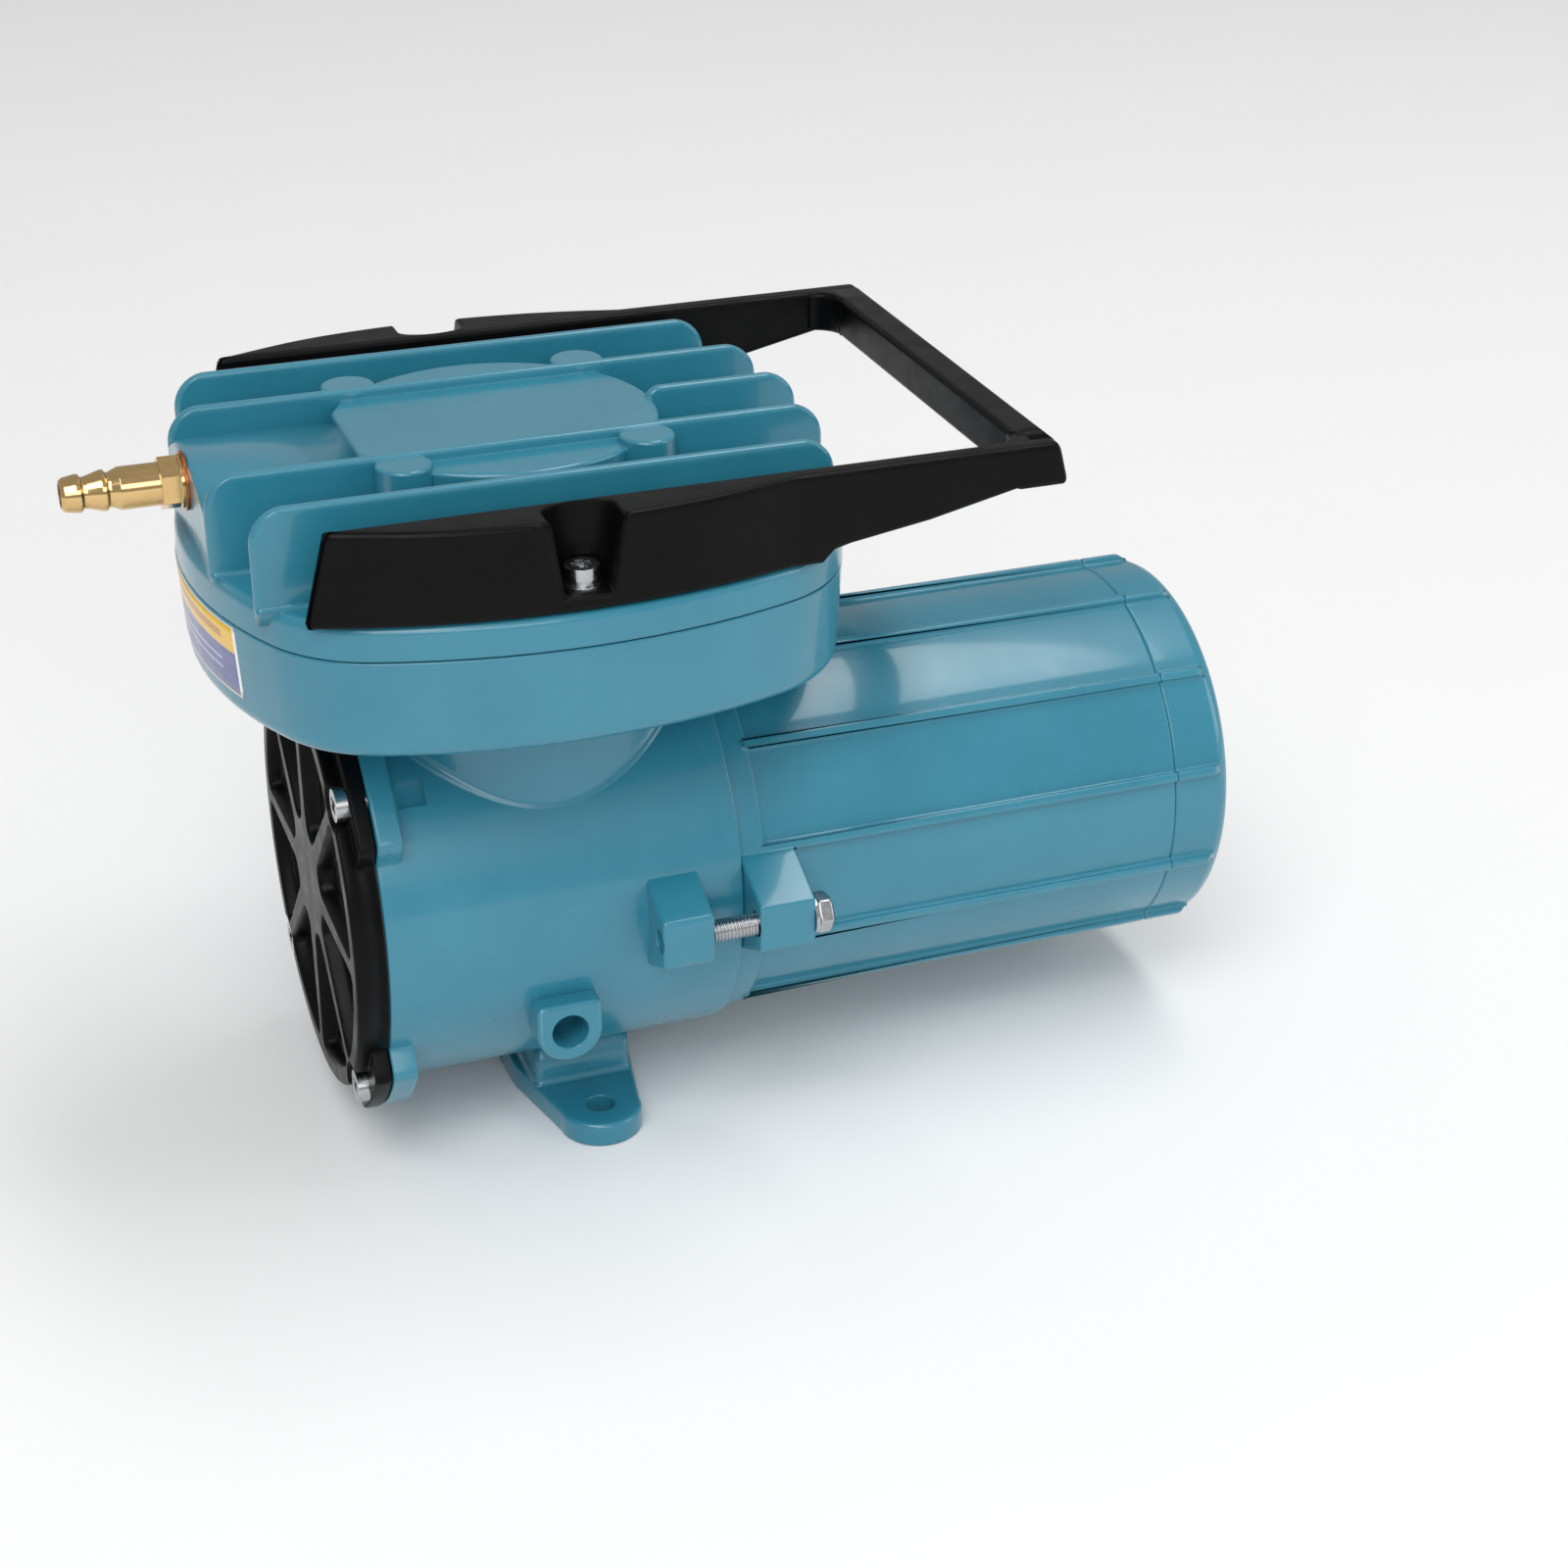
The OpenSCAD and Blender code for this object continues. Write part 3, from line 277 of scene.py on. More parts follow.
FINISHES = {
    "teal_enamel": teal_enamel(),
    "black_plastic": black_plastic(),
    "black_rubber": black_rubber(),
    "zinc_steel": metal("zinc_steel", srgb(160, 162, 165), srgb(200, 202, 205), 0.24),
    "plain_steel": metal("plain_steel", srgb(120, 122, 126), srgb(168, 170, 174), 0.3),
    "bare_aluminium": metal("bare_aluminium", srgb(168, 170, 172), srgb(204, 206, 208), 0.38),
    "seal_plastic": plain("seal_plastic", srgb(196, 190, 176), srgb(220, 216, 204), 0.5),
    "ferrite": plain("ferrite", srgb(34, 34, 37), srgb(58, 57, 58), 0.6, 0.04),
    "laminated_iron": laminated_iron(),
    "copper": metal("copper", srgb(150, 84, 48), srgb(196, 122, 74), 0.3, (0.2, 1, 1)),
    "polished_brass": metal("polished_brass", srgb(206, 170, 112), srgb(228, 196, 142), 0.13, (0.3, 1, 1),
                            0.25),
    "brown_phenolic": plain("brown_phenolic", srgb(86, 54, 34), srgb(120, 78, 48), 0.5),
    "carbon": plain("carbon", srgb(26, 26, 28), srgb(48, 48, 50), 0.65, 0.05),
    "label_film": label_film(),
}

SLOT_OF = {part["node"]: part["material_slot"] for part in frame["record"]["subparts"]}

# ---------------------------------------------------------------- CAD nodes that keep their shape

EDGE_RADII = {"motor_housing": 0.5, "motor_end_cap": 0.6}


def paint(piece, slot):
    piece.data.materials.clear()
    piece.data.materials.append(FINISHES[slot])


def soften(piece, radius):
    """Rounds the hard edges of a CAD mesh with modifiers, and leaves its own points alone."""
    weld = piece.modifiers.new("weld", "WELD")
    weld.merge_threshold = 0.005 * MM
    flat = piece.modifiers.new("flatten", "DECIMATE")
    flat.decimate_type = "DISSOLVE"
    flat.angle_limit = math.radians(0.5)
    edge = piece.modifiers.new("edge", "BEVEL")
    edge.width = radius
    edge.segments = 3
    edge.limit_method = "ANGLE"
    edge.angle_limit = math.radians(35)
    edge.use_clamp_overlap = False
    edge.miter_outer = "MITER_ARC"
    piece.modifiers.new("normals", "WEIGHTED_NORMAL")


for name, piece in frame["nodes"].items():
    paint(piece, SLOT_OF[name])
    if name in EDGE_RADII:
        soften(piece, EDGE_RADII[name] * MM)

# ---------------------------------------------------------------- mesh building
# Built pieces are drawn in millimetres from the point where the cylinder axis meets the shaft axis.

liner_lo, liner_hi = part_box("cylinder_liner")
shaft_lo, shaft_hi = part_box("motor_shaft")
ORIGIN = Vector(((liner_lo.x + liner_hi.x) / 2, 0, (shaft_lo.z + shaft_hi.z) / 2))


def span(node):
    """A CAD node's lowest and highest corners, in the drawing's millimetres."""
    lo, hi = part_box(node)
    return (lo - ORIGIN) / MM, (hi - ORIGIN) / MM


class Shell:
    """A mesh under construction, made of closed skins that may run into each other."""

    def __init__(self):
        self.bm = bmesh.new()

    def loft(self, rings, loop=False):
        """Skins rings of equal length. The ends are capped, or joined to each other if loop."""
        rows = [[self.bm.verts.new(p) for p in ring] for ring in rings]
        pairs = list(zip(rows, rows[1:])) + ([(rows[-1], rows[0])] if loop else [])
        for a, b in pairs:
            for i in range(len(a)):
                j = (i + 1) % len(a)
                self.bm.faces.new((a[i], a[j], b[j], b[i]))
        if not loop:
            self.bm.faces.new(rows[0])
            self.bm.faces.new(rows[-1])

    def piece(self, name, slot, body, *nodes):
        """Makes the object: it rides on the body and stands for the CAD nodes."""
        bmesh.ops.recalc_face_normals(self.bm, faces=self.bm.faces)
        for face in self.bm.faces:
            face.smooth = True
        mesh = bpy.data.meshes.new(name)
        self.bm.to_mesh(mesh)
        self.bm.free()
        mesh.transform(Matrix.Translation(ORIGIN) @ Matrix.Scale(MM, 4))
        made = bpy.data.objects.new(name, mesh)
        bpy.context.scene.collection.objects.link(made)
        paint(made, slot)
        made.modifiers.new("normals", "WEIGHTED_NORMAL").keep_sharp = True
        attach(made, body)
        if nodes:
            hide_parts(*nodes)
        return made


def arc(steps, start=0.0, end=90.0):
    """Cosine and sine at evenly spaced angles, in degrees."""
    for i in range(steps + 1):
        a = math.radians(start + (end - start) * i / steps)
        yield math.cos(a), math.sin(a)


def circle(radius, count, x=0.0, y=0.0):
    return [(x + radius * math.cos(2 * math.pi * i / count),
             y + radius * math.sin(2 * math.pi * i / count)) for i in range(count)]


def at_z(points, z):
    return [(x, y, z) for x, y in points]


def at_x(points, x):
    return [(x, y, z) for y, z in points]


def at_y(points, y):
    return [(x, y, z) for x, z in points]


def smooth(value, low, high):
    """0 below low, 1 above high, with an even curve between."""
    t = min(1, max(0, (value - low) / (high - low)))
    return t * t * (3 - 2 * t)


def rounded_edge(radius, steps=4):
    """(how far in, how far down) from a corner, along a quarter circle from the side to the top."""
    return [(radius * (1 - c), radius * (1 - s)) for c, s in arc(steps)]


def star(polygon, centre, count):
    """Points of a convex polygon's edge, at even angles about a centre inside it."""
    found = []
    cx, cy = centre
    for i in range(count):
        a = 2 * math.pi * i / count
        dx, dy = math.cos(a), math.sin(a)
        best = None
        for (x0, y0), (x1, y1) in zip(polygon, polygon[1:] + polygon[:1]):
            ex, ey = x1 - x0, y1 - y0
            det = dx * ey - dy * ex
            if abs(det) < 1e-12:
                continue
            t = ((x0 - cx) * ey - (y0 - cy) * ex) / det
            s = ((x0 - cx) * dy - (y0 - cy) * dx) / det
            if t > 0 and -1e-9 <= s <= 1 + 1e-9:
                best = t if best is None else min(best, t)
        found.append((cx + best * dx, cy + best * dy))
    return found


def shrink(points, inset):
    """Moves each point of a closed, counter-clockwise outline inwards."""
    made = []
    for i, (x, y) in enumerate(points):
        (ax, ay), (bx, by) = points[i - 1], points[(i + 1) % len(points)]
        tx, ty = bx - ax, by - ay
        length = math.hypot(tx, ty) or 1
        made.append((x - inset * ty / length, y + inset * tx / length))
    return made


# The head's bowed outline: four side arcs joined by four corner arcs
HEAD_X, HEAD_HALF_WIDTH, HEAD_HALF_LENGTH = 2.0, 65.5, 70.5
CORNER_X, CORNER_Y, CORNER_RADIUS = 33.5, 30.0, 30.0


def arc_centre(half, near):
    """How far past the middle the centre of a side's arc lies, for a side at half from the middle."""
    reach = half - CORNER_RADIUS
    return (CORNER_X ** 2 + CORNER_Y ** 2 - reach ** 2) / (2 * (reach - near))


def head_outline(inset, side_steps=14, corner_steps=14):
    """The outline's points, counter-clockwise, all drawn in by the inset."""
    across = arc_centre(HEAD_HALF_WIDTH, CORNER_Y)
    along = arc_centre(HEAD_HALF_LENGTH, CORNER_X)
    low = math.atan2(CORNER_Y, CORNER_X + along)
    high = math.atan2(CORNER_Y + across, CORNER_X)
    corner, side, end = (CORNER_RADIUS - inset, HEAD_HALF_WIDTH + across - inset,
                         HEAD_HALF_LENGTH + along - inset)
    arcs = []
    for sign, base in ((1, 0), (-1, math.pi)):
        back = base + math.pi
        arcs += [(-along * sign, 0, end, base - low, base + low, side_steps),
                 (CORNER_X * sign, CORNER_Y * sign, corner, base + low, base + high, corner_steps),
                 (0, -across * sign, side, base + high, back - high, side_steps),
                 (-CORNER_X * sign, CORNER_Y * sign, corner, back - high, back - low, corner_steps)]
    points = []
    for x, y, r, a0, a1, steps in arcs:
        for i in range(steps):
            a = a0 + (a1 - a0) * i / steps
            points.append((HEAD_X + x + r * math.cos(a), y + r * math.sin(a)))
    return points


PAN_DRAFT, PAN_ROUND = 0.9, 3.4
# How far the pan and the cover each reach into the seam between them
SEAM_REACH = 0.2
# Radius of the pan's hole as a share of the liner flange's radius
PAN_HOLE_SHARE = 30.28 / 44


def build_pan():
    """The lower pan: sides with a little draft and a round lower edge, open at the top."""
    lo, hi = span("lower_pan")
    z0, z1 = lo.z, hi.z + SEAM_REACH
    wall, floor_z = 4.0, z0 + 3.2
    hole = span("cylinder_liner")[1].y * PAN_HOLE_SHARE
    count = len(head_outline(0))
    rings = [at_z(head_outline(wall), z1), at_z(head_outline(0.4), z1), at_z(head_outline(0.12), z1 - 0.12),
             at_z(head_outline(0), z1 - 0.4)]
    rings += [at_z(head_outline(PAN_DRAFT + inward), z0 + down)
              for inward, down in rounded_edge(PAN_ROUND, 6)]
    rings += [at_z(circle(hole, count), z0), at_z(circle(hole, count), floor_z),
              at_z(head_outline(wall + 1), floor_z), at_z(head_outline(wall), floor_z + 1)]
    shell = Shell()
    shell.loft(rings, loop=True)
    return shell.piece("lower_pan_shell", "teal_enamel", "pump_body", "lower_pan")


def build_label():
    """The film on the pan's left end, which leans with the wall."""
    lo, hi = span("nameplate")
    pan_lo, pan_hi = span("lower_pan")
    along = arc_centre(HEAD_HALF_LENGTH, CORNER_X)
    wall_top, wall_foot = pan_hi.z - 0.2, pan_lo.z + PAN_ROUND
    proud, sunk = 0.2, 0.3
    steps, levels = 48, 8
    across = [lo.y + (hi.y - lo.y) * i / steps for i in range(steps + 1)]
    rings = []
    for k in range(levels + 1):
        z = lo.z + (hi.z - lo.z) * k / levels
        wall = HEAD_HALF_LENGTH + along - PAN_DRAFT * (wall_top - z) / (wall_top - wall_foot)
        ring = []
        for r, ys in ((wall + proud, across), (wall - sunk, across[::-1])):
            ring += [(HEAD_X + along - math.sqrt(r * r - y * y), y) for y in ys]
        rings.append(at_z(ring, z))
    shell = Shell()
    shell.loft(rings)
    return shell.piece("label_film_piece", "label_film", "pump_body", "nameplate")


def fin_outline(ends, y, reach, half):
    """A long plan with round ends: reach past each end, half the width across."""
    turn = [math.radians(d) for d in range(0, 181, 20)]
    return ([(ends[1] + reach * math.sin(a), y - half * math.cos(a)) for a in turn]
            + [(ends[0] - reach * math.sin(a), y + half * math.cos(a)) for a in turn])


def fin_rings(y, x0, x1, r0, r1, base, top, half, flare=1.2, crown=1.0):
    """Levels of a cast fin: a fillet at its foot, a little draft, rounded upper corners and a round crest."""
    r = max(r0, r1)
    levels = [base + flare * (1 - s) for _, s in arc(4)]
    levels += [top - r + r * s for _, s in arc(8, 0, 80)]
    levels += [top - crown * 0.6 * (1 - s) for _, s in arc(3, 30, 90)]
    rings = []
    for z in sorted({round(z, 4) for z in levels}):
        up, down = z - base, top - z
        t = half + 0.2 * (1 - up / (top - base))
        if up < flare:
            t += flare - math.sqrt(flare ** 2 - (flare - up) ** 2)
        if down < crown:
            t -= crown - math.sqrt(max(0, crown ** 2 - (crown - down) ** 2))
        ends = []
        for x, corner, sign in ((x0, r0, 1), (x1, r1, -1)):
            over = max(0, z - (top - corner))
            ends.append(x + sign * (corner - math.sqrt(max(0, corner ** 2 - over ** 2)) + min(t, half)))
        rings.append(at_z(fin_outline(ends, y, min(t, half), t), z))
    ends = [x0 + half, x1 - half]
    return [at_z(fin_outline(ends, y, half, half * 0.9), base - 3)] + rings


def boss_rings(x, y, radius, base, top, flare, crown, count):
    """Levels of an upright round boss with a fillet at its foot and a round upper edge."""
    rings = [at_z(circle(radius + flare, count, x, y), base - 1)]
    rings += [at_z(circle(radius + flare * (1 - c), count, x, y), base + flare * (1 - s))
              for c, s in reversed(list(arc(5)))]
    rings += [at_z(circle(radius - crown + crown * c, count, x, y), top - crown + crown * s)
              for c, s in arc(4)]
    return rings


FIN_SPACING, FIN_HALF, FIN_CORNER = 21.0, 1.25, 7.5
# Row, left end, right end and left corner's radius of each fin
FINS = ((-2, -61, 61, FIN_CORNER), (-1, -66, 66.2, FIN_CORNER), (0, 33, 68, 4.0),
        (1, -66, 66.2, FIN_CORNER), (2, -61, 61, FIN_CORNER))
DRUM_RADIUS, DRUM_FLAT_X = 35.0, -32.4
BOSS_X, BOSS_Y, BOSS_RADIUS = 25.8, 25.5, 5.9
RIDGE_X, RIDGE_END_X, RIDGE_ARC = -66.0, -15.0, 48.0


def build_head_cover():
    """The head cover: a deck with a round edge, five fins, a drum, four bosses and the outlet ridge."""
    lo, hi = span("head_cover")
    z0, deck, top = lo.z - SEAM_REACH, lo.z + 7.2, hi.z
    shell = Shell()
    rings = [at_z(head_outline(5), deck - 3), at_z(head_outline(5), z0), at_z(head_outline(0.4), z0),
             at_z(head_outline(0.12), z0 + 0.12), at_z(head_outline(0), z0 + 0.4)]
    rings += [at_z(head_outline(0.2 + inward), deck - down) for inward, down in rounded_edge(2.0, 5)]
    shell.loft(rings)
    for row, x0, x1, left_corner in FINS:
        shell.loft(fin_rings(row * FIN_SPACING, x0, x1, left_corner, FIN_CORNER, deck, top, FIN_HALF))
    # The drum's end towards the barb is cut straight
    drum = boss_rings(0, 0, DRUM_RADIUS, deck, top - 2.2, 2.5, 1.0, 144)
    flat = DRUM_RADIUS + DRUM_FLAT_X
    shell.loft([[(max(x, flat - ring[0][0]), y, z) for x, y, z in ring] for ring in drum])
    for sx in (-1, 1):
        for sy in (-1, 1):
            shell.loft(boss_rings(BOSS_X * sx, BOSS_Y * sy, BOSS_RADIUS, deck, top - 0.6, 1.8, 0.8, 40))
    # Outlet ridge, bowed across, with a round upper edge at the barb's end
    arc_z = top - 2.6 - RIDGE_ARC
    rings = []
    for inward, down in reversed(rounded_edge(1.2, 5)):
        r = RIDGE_ARC - inward
        edge = [(y, arc_z + math.sqrt(r * r - y * y))
                for y in [-FIN_SPACING + 2 * FIN_SPACING * i / 24 for i in range(25)]]
        rings.append(at_x([(-FIN_SPACING, deck - 1)] + edge + [(FIN_SPACING, deck - 1)], RIDGE_X + down))
    rings.append([(RIDGE_END_X, y, z) for _, y, z in rings[-1]])
    shell.loft(rings)
    return shell.piece("head_cover_casting", "teal_enamel", "pump_body", "head_cover")


def lug_outline(inset, low, high=53.3, half_angle=15.0, blend=2.6, count=480):
    """A circle with four lugs on the diagonals, whose shoulders are rounded."""
    points = []
    for i in range(count):
        a = 360 * i / count
        off = abs((a % 90) - 45)
        rise = 1 - smooth(off, half_angle - blend, half_angle + blend)
        r = low + (high - low) * rise - inset
        points.append((r * math.cos(math.radians(a)), r * math.sin(math.radians(a))))
    return points


def lug_flange(shell, x0, x1, low, inner, edge, count=480):
    """A ring with four lugs, from x0 to x1, with rounded edges."""
    rings = [at_x(circle(inner, count), x0), at_x(lug_outline(edge, low), x0)]
    rings += [at_x(lug_outline(inward, low), x0 + down) for inward, down in rounded_edge(edge, 3)[::-1]]
    rings += [at_x(lug_outline(inward, low), x1 - down) for inward, down in rounded_edge(edge, 3)]
    rings += [at_x(circle(inner, count), x1)]
    shell.loft(rings, loop=True)


def prism_with_hole(shell, outline, centre, hole, a0, a1, place, edge, count=64):
    """A convex outline drawn out from a0 to a1 with rounded edges and a round hole through it."""
    ring = star(outline, centre, count)
    around = circle(hole, count, *centre)
    lip = 0.35
    rim = circle(hole + lip, count, *centre)
    rings = [place(around, a0 + lip), place(rim, a0), place(shrink(ring, edge), a0)]
    rings += [place(shrink(ring, inward), a0 + down) for inward, down in rounded_edge(edge, 3)[::-1]]
    rings += [place(shrink(ring, inward), a1 - down) for inward, down in rounded_edge(edge, 3)]
    rings += [place(rim, a1), place(around, a1 - lip)]
    shell.loft(rings, loop=True)


def round_corners(polygon, radius, steps=4):
    """Replaces each corner of a counter-clockwise convex polygon with an arc."""
    made = []
    for i, (x, y) in enumerate(polygon):
        (ax, ay), (bx, by) = polygon[i - 1], polygon[(i + 1) % len(polygon)]
        a = Vector((ax - x, ay - y)).normalized()
        b = Vector((bx - x, by - y)).normalized()
        half = math.acos(max(-1, min(1, a.dot(b)))) / 2
        reach = radius / math.tan(half)
        centre = Vector((x, y)) + (a + b).normalized() * radius / math.sin(half)
        start = Vector((x, y)) + a * reach - centre
        end = Vector((x, y)) + b * reach - centre
        turn = math.atan2(start.x * end.y - start.y * end.x, start.dot(end))
        for k in range(steps + 1):
            c, s = math.cos(turn * k / steps), math.sin(turn * k / steps)
            made.append((centre.x + c * start.x - s * start.y, centre.y + s * start.x + c * start.y))
    return made


EAR_BOLT_Y, EAR_BORE, EAR_X0, EAR_X1 = 54.5, 2.6, 17, 28.8
EAR_OUTLINE = [(42, -12), (46, -11), (57.8, -5.4), (57.8, 5.4), (46, 11), (42, 12)]


def ear(shell, x0, x1, side):
    """An ear that a tie bolt passes through, with sloped upper and lower sides."""
    outline = [(y * side, z) for y, z in EAR_OUTLINE][::side]
    prism_with_hole(shell, round_corners(outline, 1.2), (EAR_BOLT_Y * side, 0), EAR_BORE, x0, x1, at_x, 0.9)


CASE_X0, CASE_X1, CASE_RADIUS, CASE_INNER, CASE_BORE = -40.5, 39.0, 47.5, 43.0, 30.03
SHAFT_HOLE, BEARING_SEAT, BEARING_X, CASE_WALL_X = 9, 11.03, 32, 29
BARREL_RADIUS, BARREL_FILLET, LUG_X1 = 38.0, 3.0, -35
INTAKE_X, INTAKE_Z, INTAKE_HALF, INTAKE_BORE, INTAKE_Y0, INTAKE_Y1 = -2, -21.7, 7.3, 4.0, -49.7, -35
FOOT_X, FOOT_Y, FOOT_TIP, FOOT_HOLE, FOOT_THICKNESS = 8.5, -34.5, 9.4, 3.2, 5.7


def case_body():
    """The round body: open at the end cover, with a wall and a bearing seat at the motor."""
    edge = rounded_edge(0.6, 3)
    profile = [(CASE_WALL_X, SHAFT_HOLE), (CASE_WALL_X, CASE_INNER), (CASE_X0, CASE_INNER)]
    profile += [(CASE_X0 + down, CASE_RADIUS - inward) for inward, down in edge[::-1]]
    profile += [(CASE_X1 - down, CASE_RADIUS - inward) for inward, down in edge]
    profile += [(CASE_X1, BEARING_SEAT), (BEARING_X, BEARING_SEAT), (BEARING_X, SHAFT_HOLE)]
    shell = Shell()
    shell.loft([at_x(circle(r, 192), x) for x, r in profile], loop=True)
    return shell


def barrel(top):
    """The upright barrel, with a fillet whose circle touches both its wall and the round body."""
    count, steps = 180, 6
    fillet = [[] for _ in range(steps + 1)]
    centre, reach = BARREL_RADIUS + BARREL_FILLET, CASE_RADIUS + BARREL_FILLET
    for i in range(count):
        phi = 2 * math.pi * i / count
        yc = centre * math.sin(phi)
        zc = math.sqrt(reach ** 2 - yc ** 2)
        # Where the circle meets the body: towards the shaft axis, in the plane across it
        ty, tz = yc * CASE_RADIUS / reach, zc * CASE_RADIUS / reach
        slope = math.atan2(zc - tz, abs(yc - ty) + 1e-9) if abs(math.sin(phi)) > 1e-6 else math.pi / 2
        for k in range(steps + 1):
            a = slope * (1 - k / steps)
            rho = centre - BARREL_FILLET * math.cos(a)
            fillet[k].append((rho * math.cos(phi), rho * math.sin(phi), zc - BARREL_FILLET * math.sin(a)))
    # The skin starts a little wider and lower, inside the body's wall, and ends there down the bore
    rings = [[(x * 1.02, y * 1.02, z - 2.0) for x, y, z in fillet[0]]] + fillet
    edge, inside = 0.6, 45.2
    rings += [at_z(circle(BARREL_RADIUS - edge + edge * c, count), top - edge + edge * s) for c, s in arc(3)]
    bore = circle(CASE_BORE, count)
    rings += [at_z(bore, top), [(x, y, math.sqrt(inside ** 2 - y * y)) for x, y in bore]]
    shell = Shell()
    shell.loft(rings, loop=True)
    return shell


def foot(shell, side, base):
    """A foot plate with a round tip and a hole."""
    centre, top = (FOOT_X, FOOT_Y), base + FOOT_THICKNESS
    outline = [(FOOT_X + FOOT_TIP * c, FOOT_Y + FOOT_TIP * s) for c, s in arc(20, 180, 360)]
    outline += [(22, -12), (22, 1), (-6, 1), (-6, -12)]
    plans = [star(outline, centre, 96), circle(FOOT_HOLE, 96, *centre), circle(FOOT_HOLE + 0.4, 96, *centre)]
    if side > 0:
        plans = [[(x, -y) for x, y in plan][::-1] for plan in plans]
    plan, hole, rim = plans
    rings = [at_z(hole, base + 0.4), at_z(rim, base), at_z(shrink(plan, 0.4), base), at_z(plan, base + 0.4)]
    rings += [at_z(shrink(plan, inward), top - down) for inward, down in rounded_edge(1.2, 4)]
    rings += [at_z(rim, top), at_z(hole, top - 0.4)]
    shell.loft(rings, loop=True)


def web(shell, base):
    """The block between the feet and the body, with a fillet at its foot."""
    rings = []
    for flare, up in ((1.0, -0.5), (0.9, 0), (0.45, 0.35), (0.2, 0.8), (0, 1.6), (0, 16.3)):
        x0, x1, half = -3.0 - flare, 19.2 + flare, 22.6 + flare
        plan = round_corners([(x1, -half), (x1, half), (x0, half), (x0, -half)], 1.6 + flare * 0.5)
        rings.append(at_z(plan, base + FOOT_THICKNESS + up))
    shell.loft(rings)


def build_crankcase():
    """The crankcase casting: the round body with its bore and pocket, and all that is cast onto it."""
    lo, hi = span("crankcase")
    parts = Shell()
    lug_flange(parts, CASE_X0, LUG_X1, CASE_RADIUS - 0.3, CASE_INNER, 0.7)
    for side in (-1, 1):
        ear(parts, EAR_X0, EAR_X1, side)
        foot(parts, side, lo.z)
    # The intake boss: a half circle below and a rounded square top, whose last two corners are dropped
    x0, x1, flat_z, low_z = INTAKE_X - INTAKE_HALF, INTAKE_X + INTAKE_HALF, -14.7, INTAKE_Z + 0.1
    boss = [(INTAKE_X + INTAKE_HALF * c, INTAKE_Z + INTAKE_HALF * s) for c, s in arc(16, 180, 360)]
    boss += round_corners([(x1, flat_z), (x0, flat_z), (x0, low_z), (x1, low_z)], 1.4)[:10]
    prism_with_hole(parts, boss, (INTAKE_X, INTAKE_Z), INTAKE_BORE, INTAKE_Y0, INTAKE_Y1, at_y, 0.9, 72)
    web(parts, lo.z)
    case = case_body().piece("crankcase_body", "teal_enamel", "pump_body", "crankcase")
    cut(case, cylinder_cutter(CASE_BORE, 28, 60))
    cut(case, pocket_cutter(CASE_RADIUS - 1.2))
    join_into("crankcase_castings", "teal_enamel", "pump_body", barrel(hi.z), parts)


def cut(piece, cutter):
    """Takes the cutter's volume out of a piece's mesh, for good."""
    modifier = piece.modifiers.new("cut", "BOOLEAN")
    modifier.operation = "DIFFERENCE"
    modifier.solver = "EXACT"
    modifier.object = cutter
    graph = bpy.context.evaluated_depsgraph_get()
    graph.update()
    mesh = bpy.data.meshes.new_from_object(piece.evaluated_get(graph))
    piece.modifiers.remove(modifier)
    piece.data = mesh
    for face in mesh.polygons:
        face.use_smooth = True
    bpy.data.objects.remove(cutter)


def build_end_cover():
    """The black end cover: a disc with eight spokes and pockets between them, and four lugs."""
    lo, hi = span("end_cover")
    x0, x1, radius = lo.x, hi.x - 2, CASE_RADIUS
    hub, rim, spoke, deep, draft = 13.0, 43.5, 2.3, 3.4, 1.2
    lug_x0 = x0 + 3.1
    seat, screw_circle = 5.2, 49.0
    count = 480

    def depth(rho, a):
        """How far the face lies back, at a radius and an angle."""
        near = (a + 22.5) % 45 - 22.5
        across = rho * abs(math.sin(math.radians(near))) - spoke * (1 - 0.35 * (rho - hub) / (rim - hub))
        inside = min(rho - hub, rim - rho)
        corner = 2.5
        if across < corner and inside < corner:
            gap = corner - math.hypot(corner - across, corner - inside)
        else:
            gap = min(across, inside)
        pocket = deep * smooth(gap, 0, draft)
        off = (a % 90) - 45
        dist = math.hypot(rho * math.cos(math.radians(off)) - screw_circle, rho * math.sin(math.radians(off)))
        return max(pocket, (lug_x0 - x0) * (1 - smooth(dist, seat - 0.4, seat + 0.3)))

    edge = 0.8
    # Radii of the rings, close together where the hub, the rim and the screw seats begin
    steps = [0.4, 6, 11.5] + [12 + 0.3 * i for i in range(12)] + [16.5 + 1.5 * i for i in range(16)]
    steps += [40 + 0.35 * i for i in range(10)] + [43.6 + 0.4 * i for i in range(8)]
    levels = [(rho, 0) for rho in steps]
    levels += [(radius - inward, down) for inward, down in rounded_edge(edge, 4)[::-1]]
    rings = [[(x0 + max(down, depth(rho, 360 * i / count)), y, z)
              for i, (y, z) in enumerate(circle(rho, count))] for rho, down in levels]
    hollow, face_thickness = circle(39.5, count), 5.5
    rings += [at_x(circle(radius, count), x1), at_x(hollow, x1), at_x(hollow, x0 + face_thickness)]
    shell = Shell()
    shell.loft(rings)
    lug_flange(shell, lug_x0, x1, radius - 0.3, 40, 0.7)
    return shell.piece("end_cover_moulding", "black_plastic", "pump_body", "end_cover")


HANDLE_INNER_Y, ARM_Y, HANDLE_CORNER = 53.8, 58.7, 1.3
BOW_Y, BOW_RADIUS, HANDLE_SCREW_X, HANDLE_LEAN = 65.2, 155.0, 1.0, 5.0
HANDLE_X0, BAR_X, BAR_END_LOW, BAR_END_HIGH, BAR_Z0 = -53.5, 97.6, 107.4, 105.0, 94.1
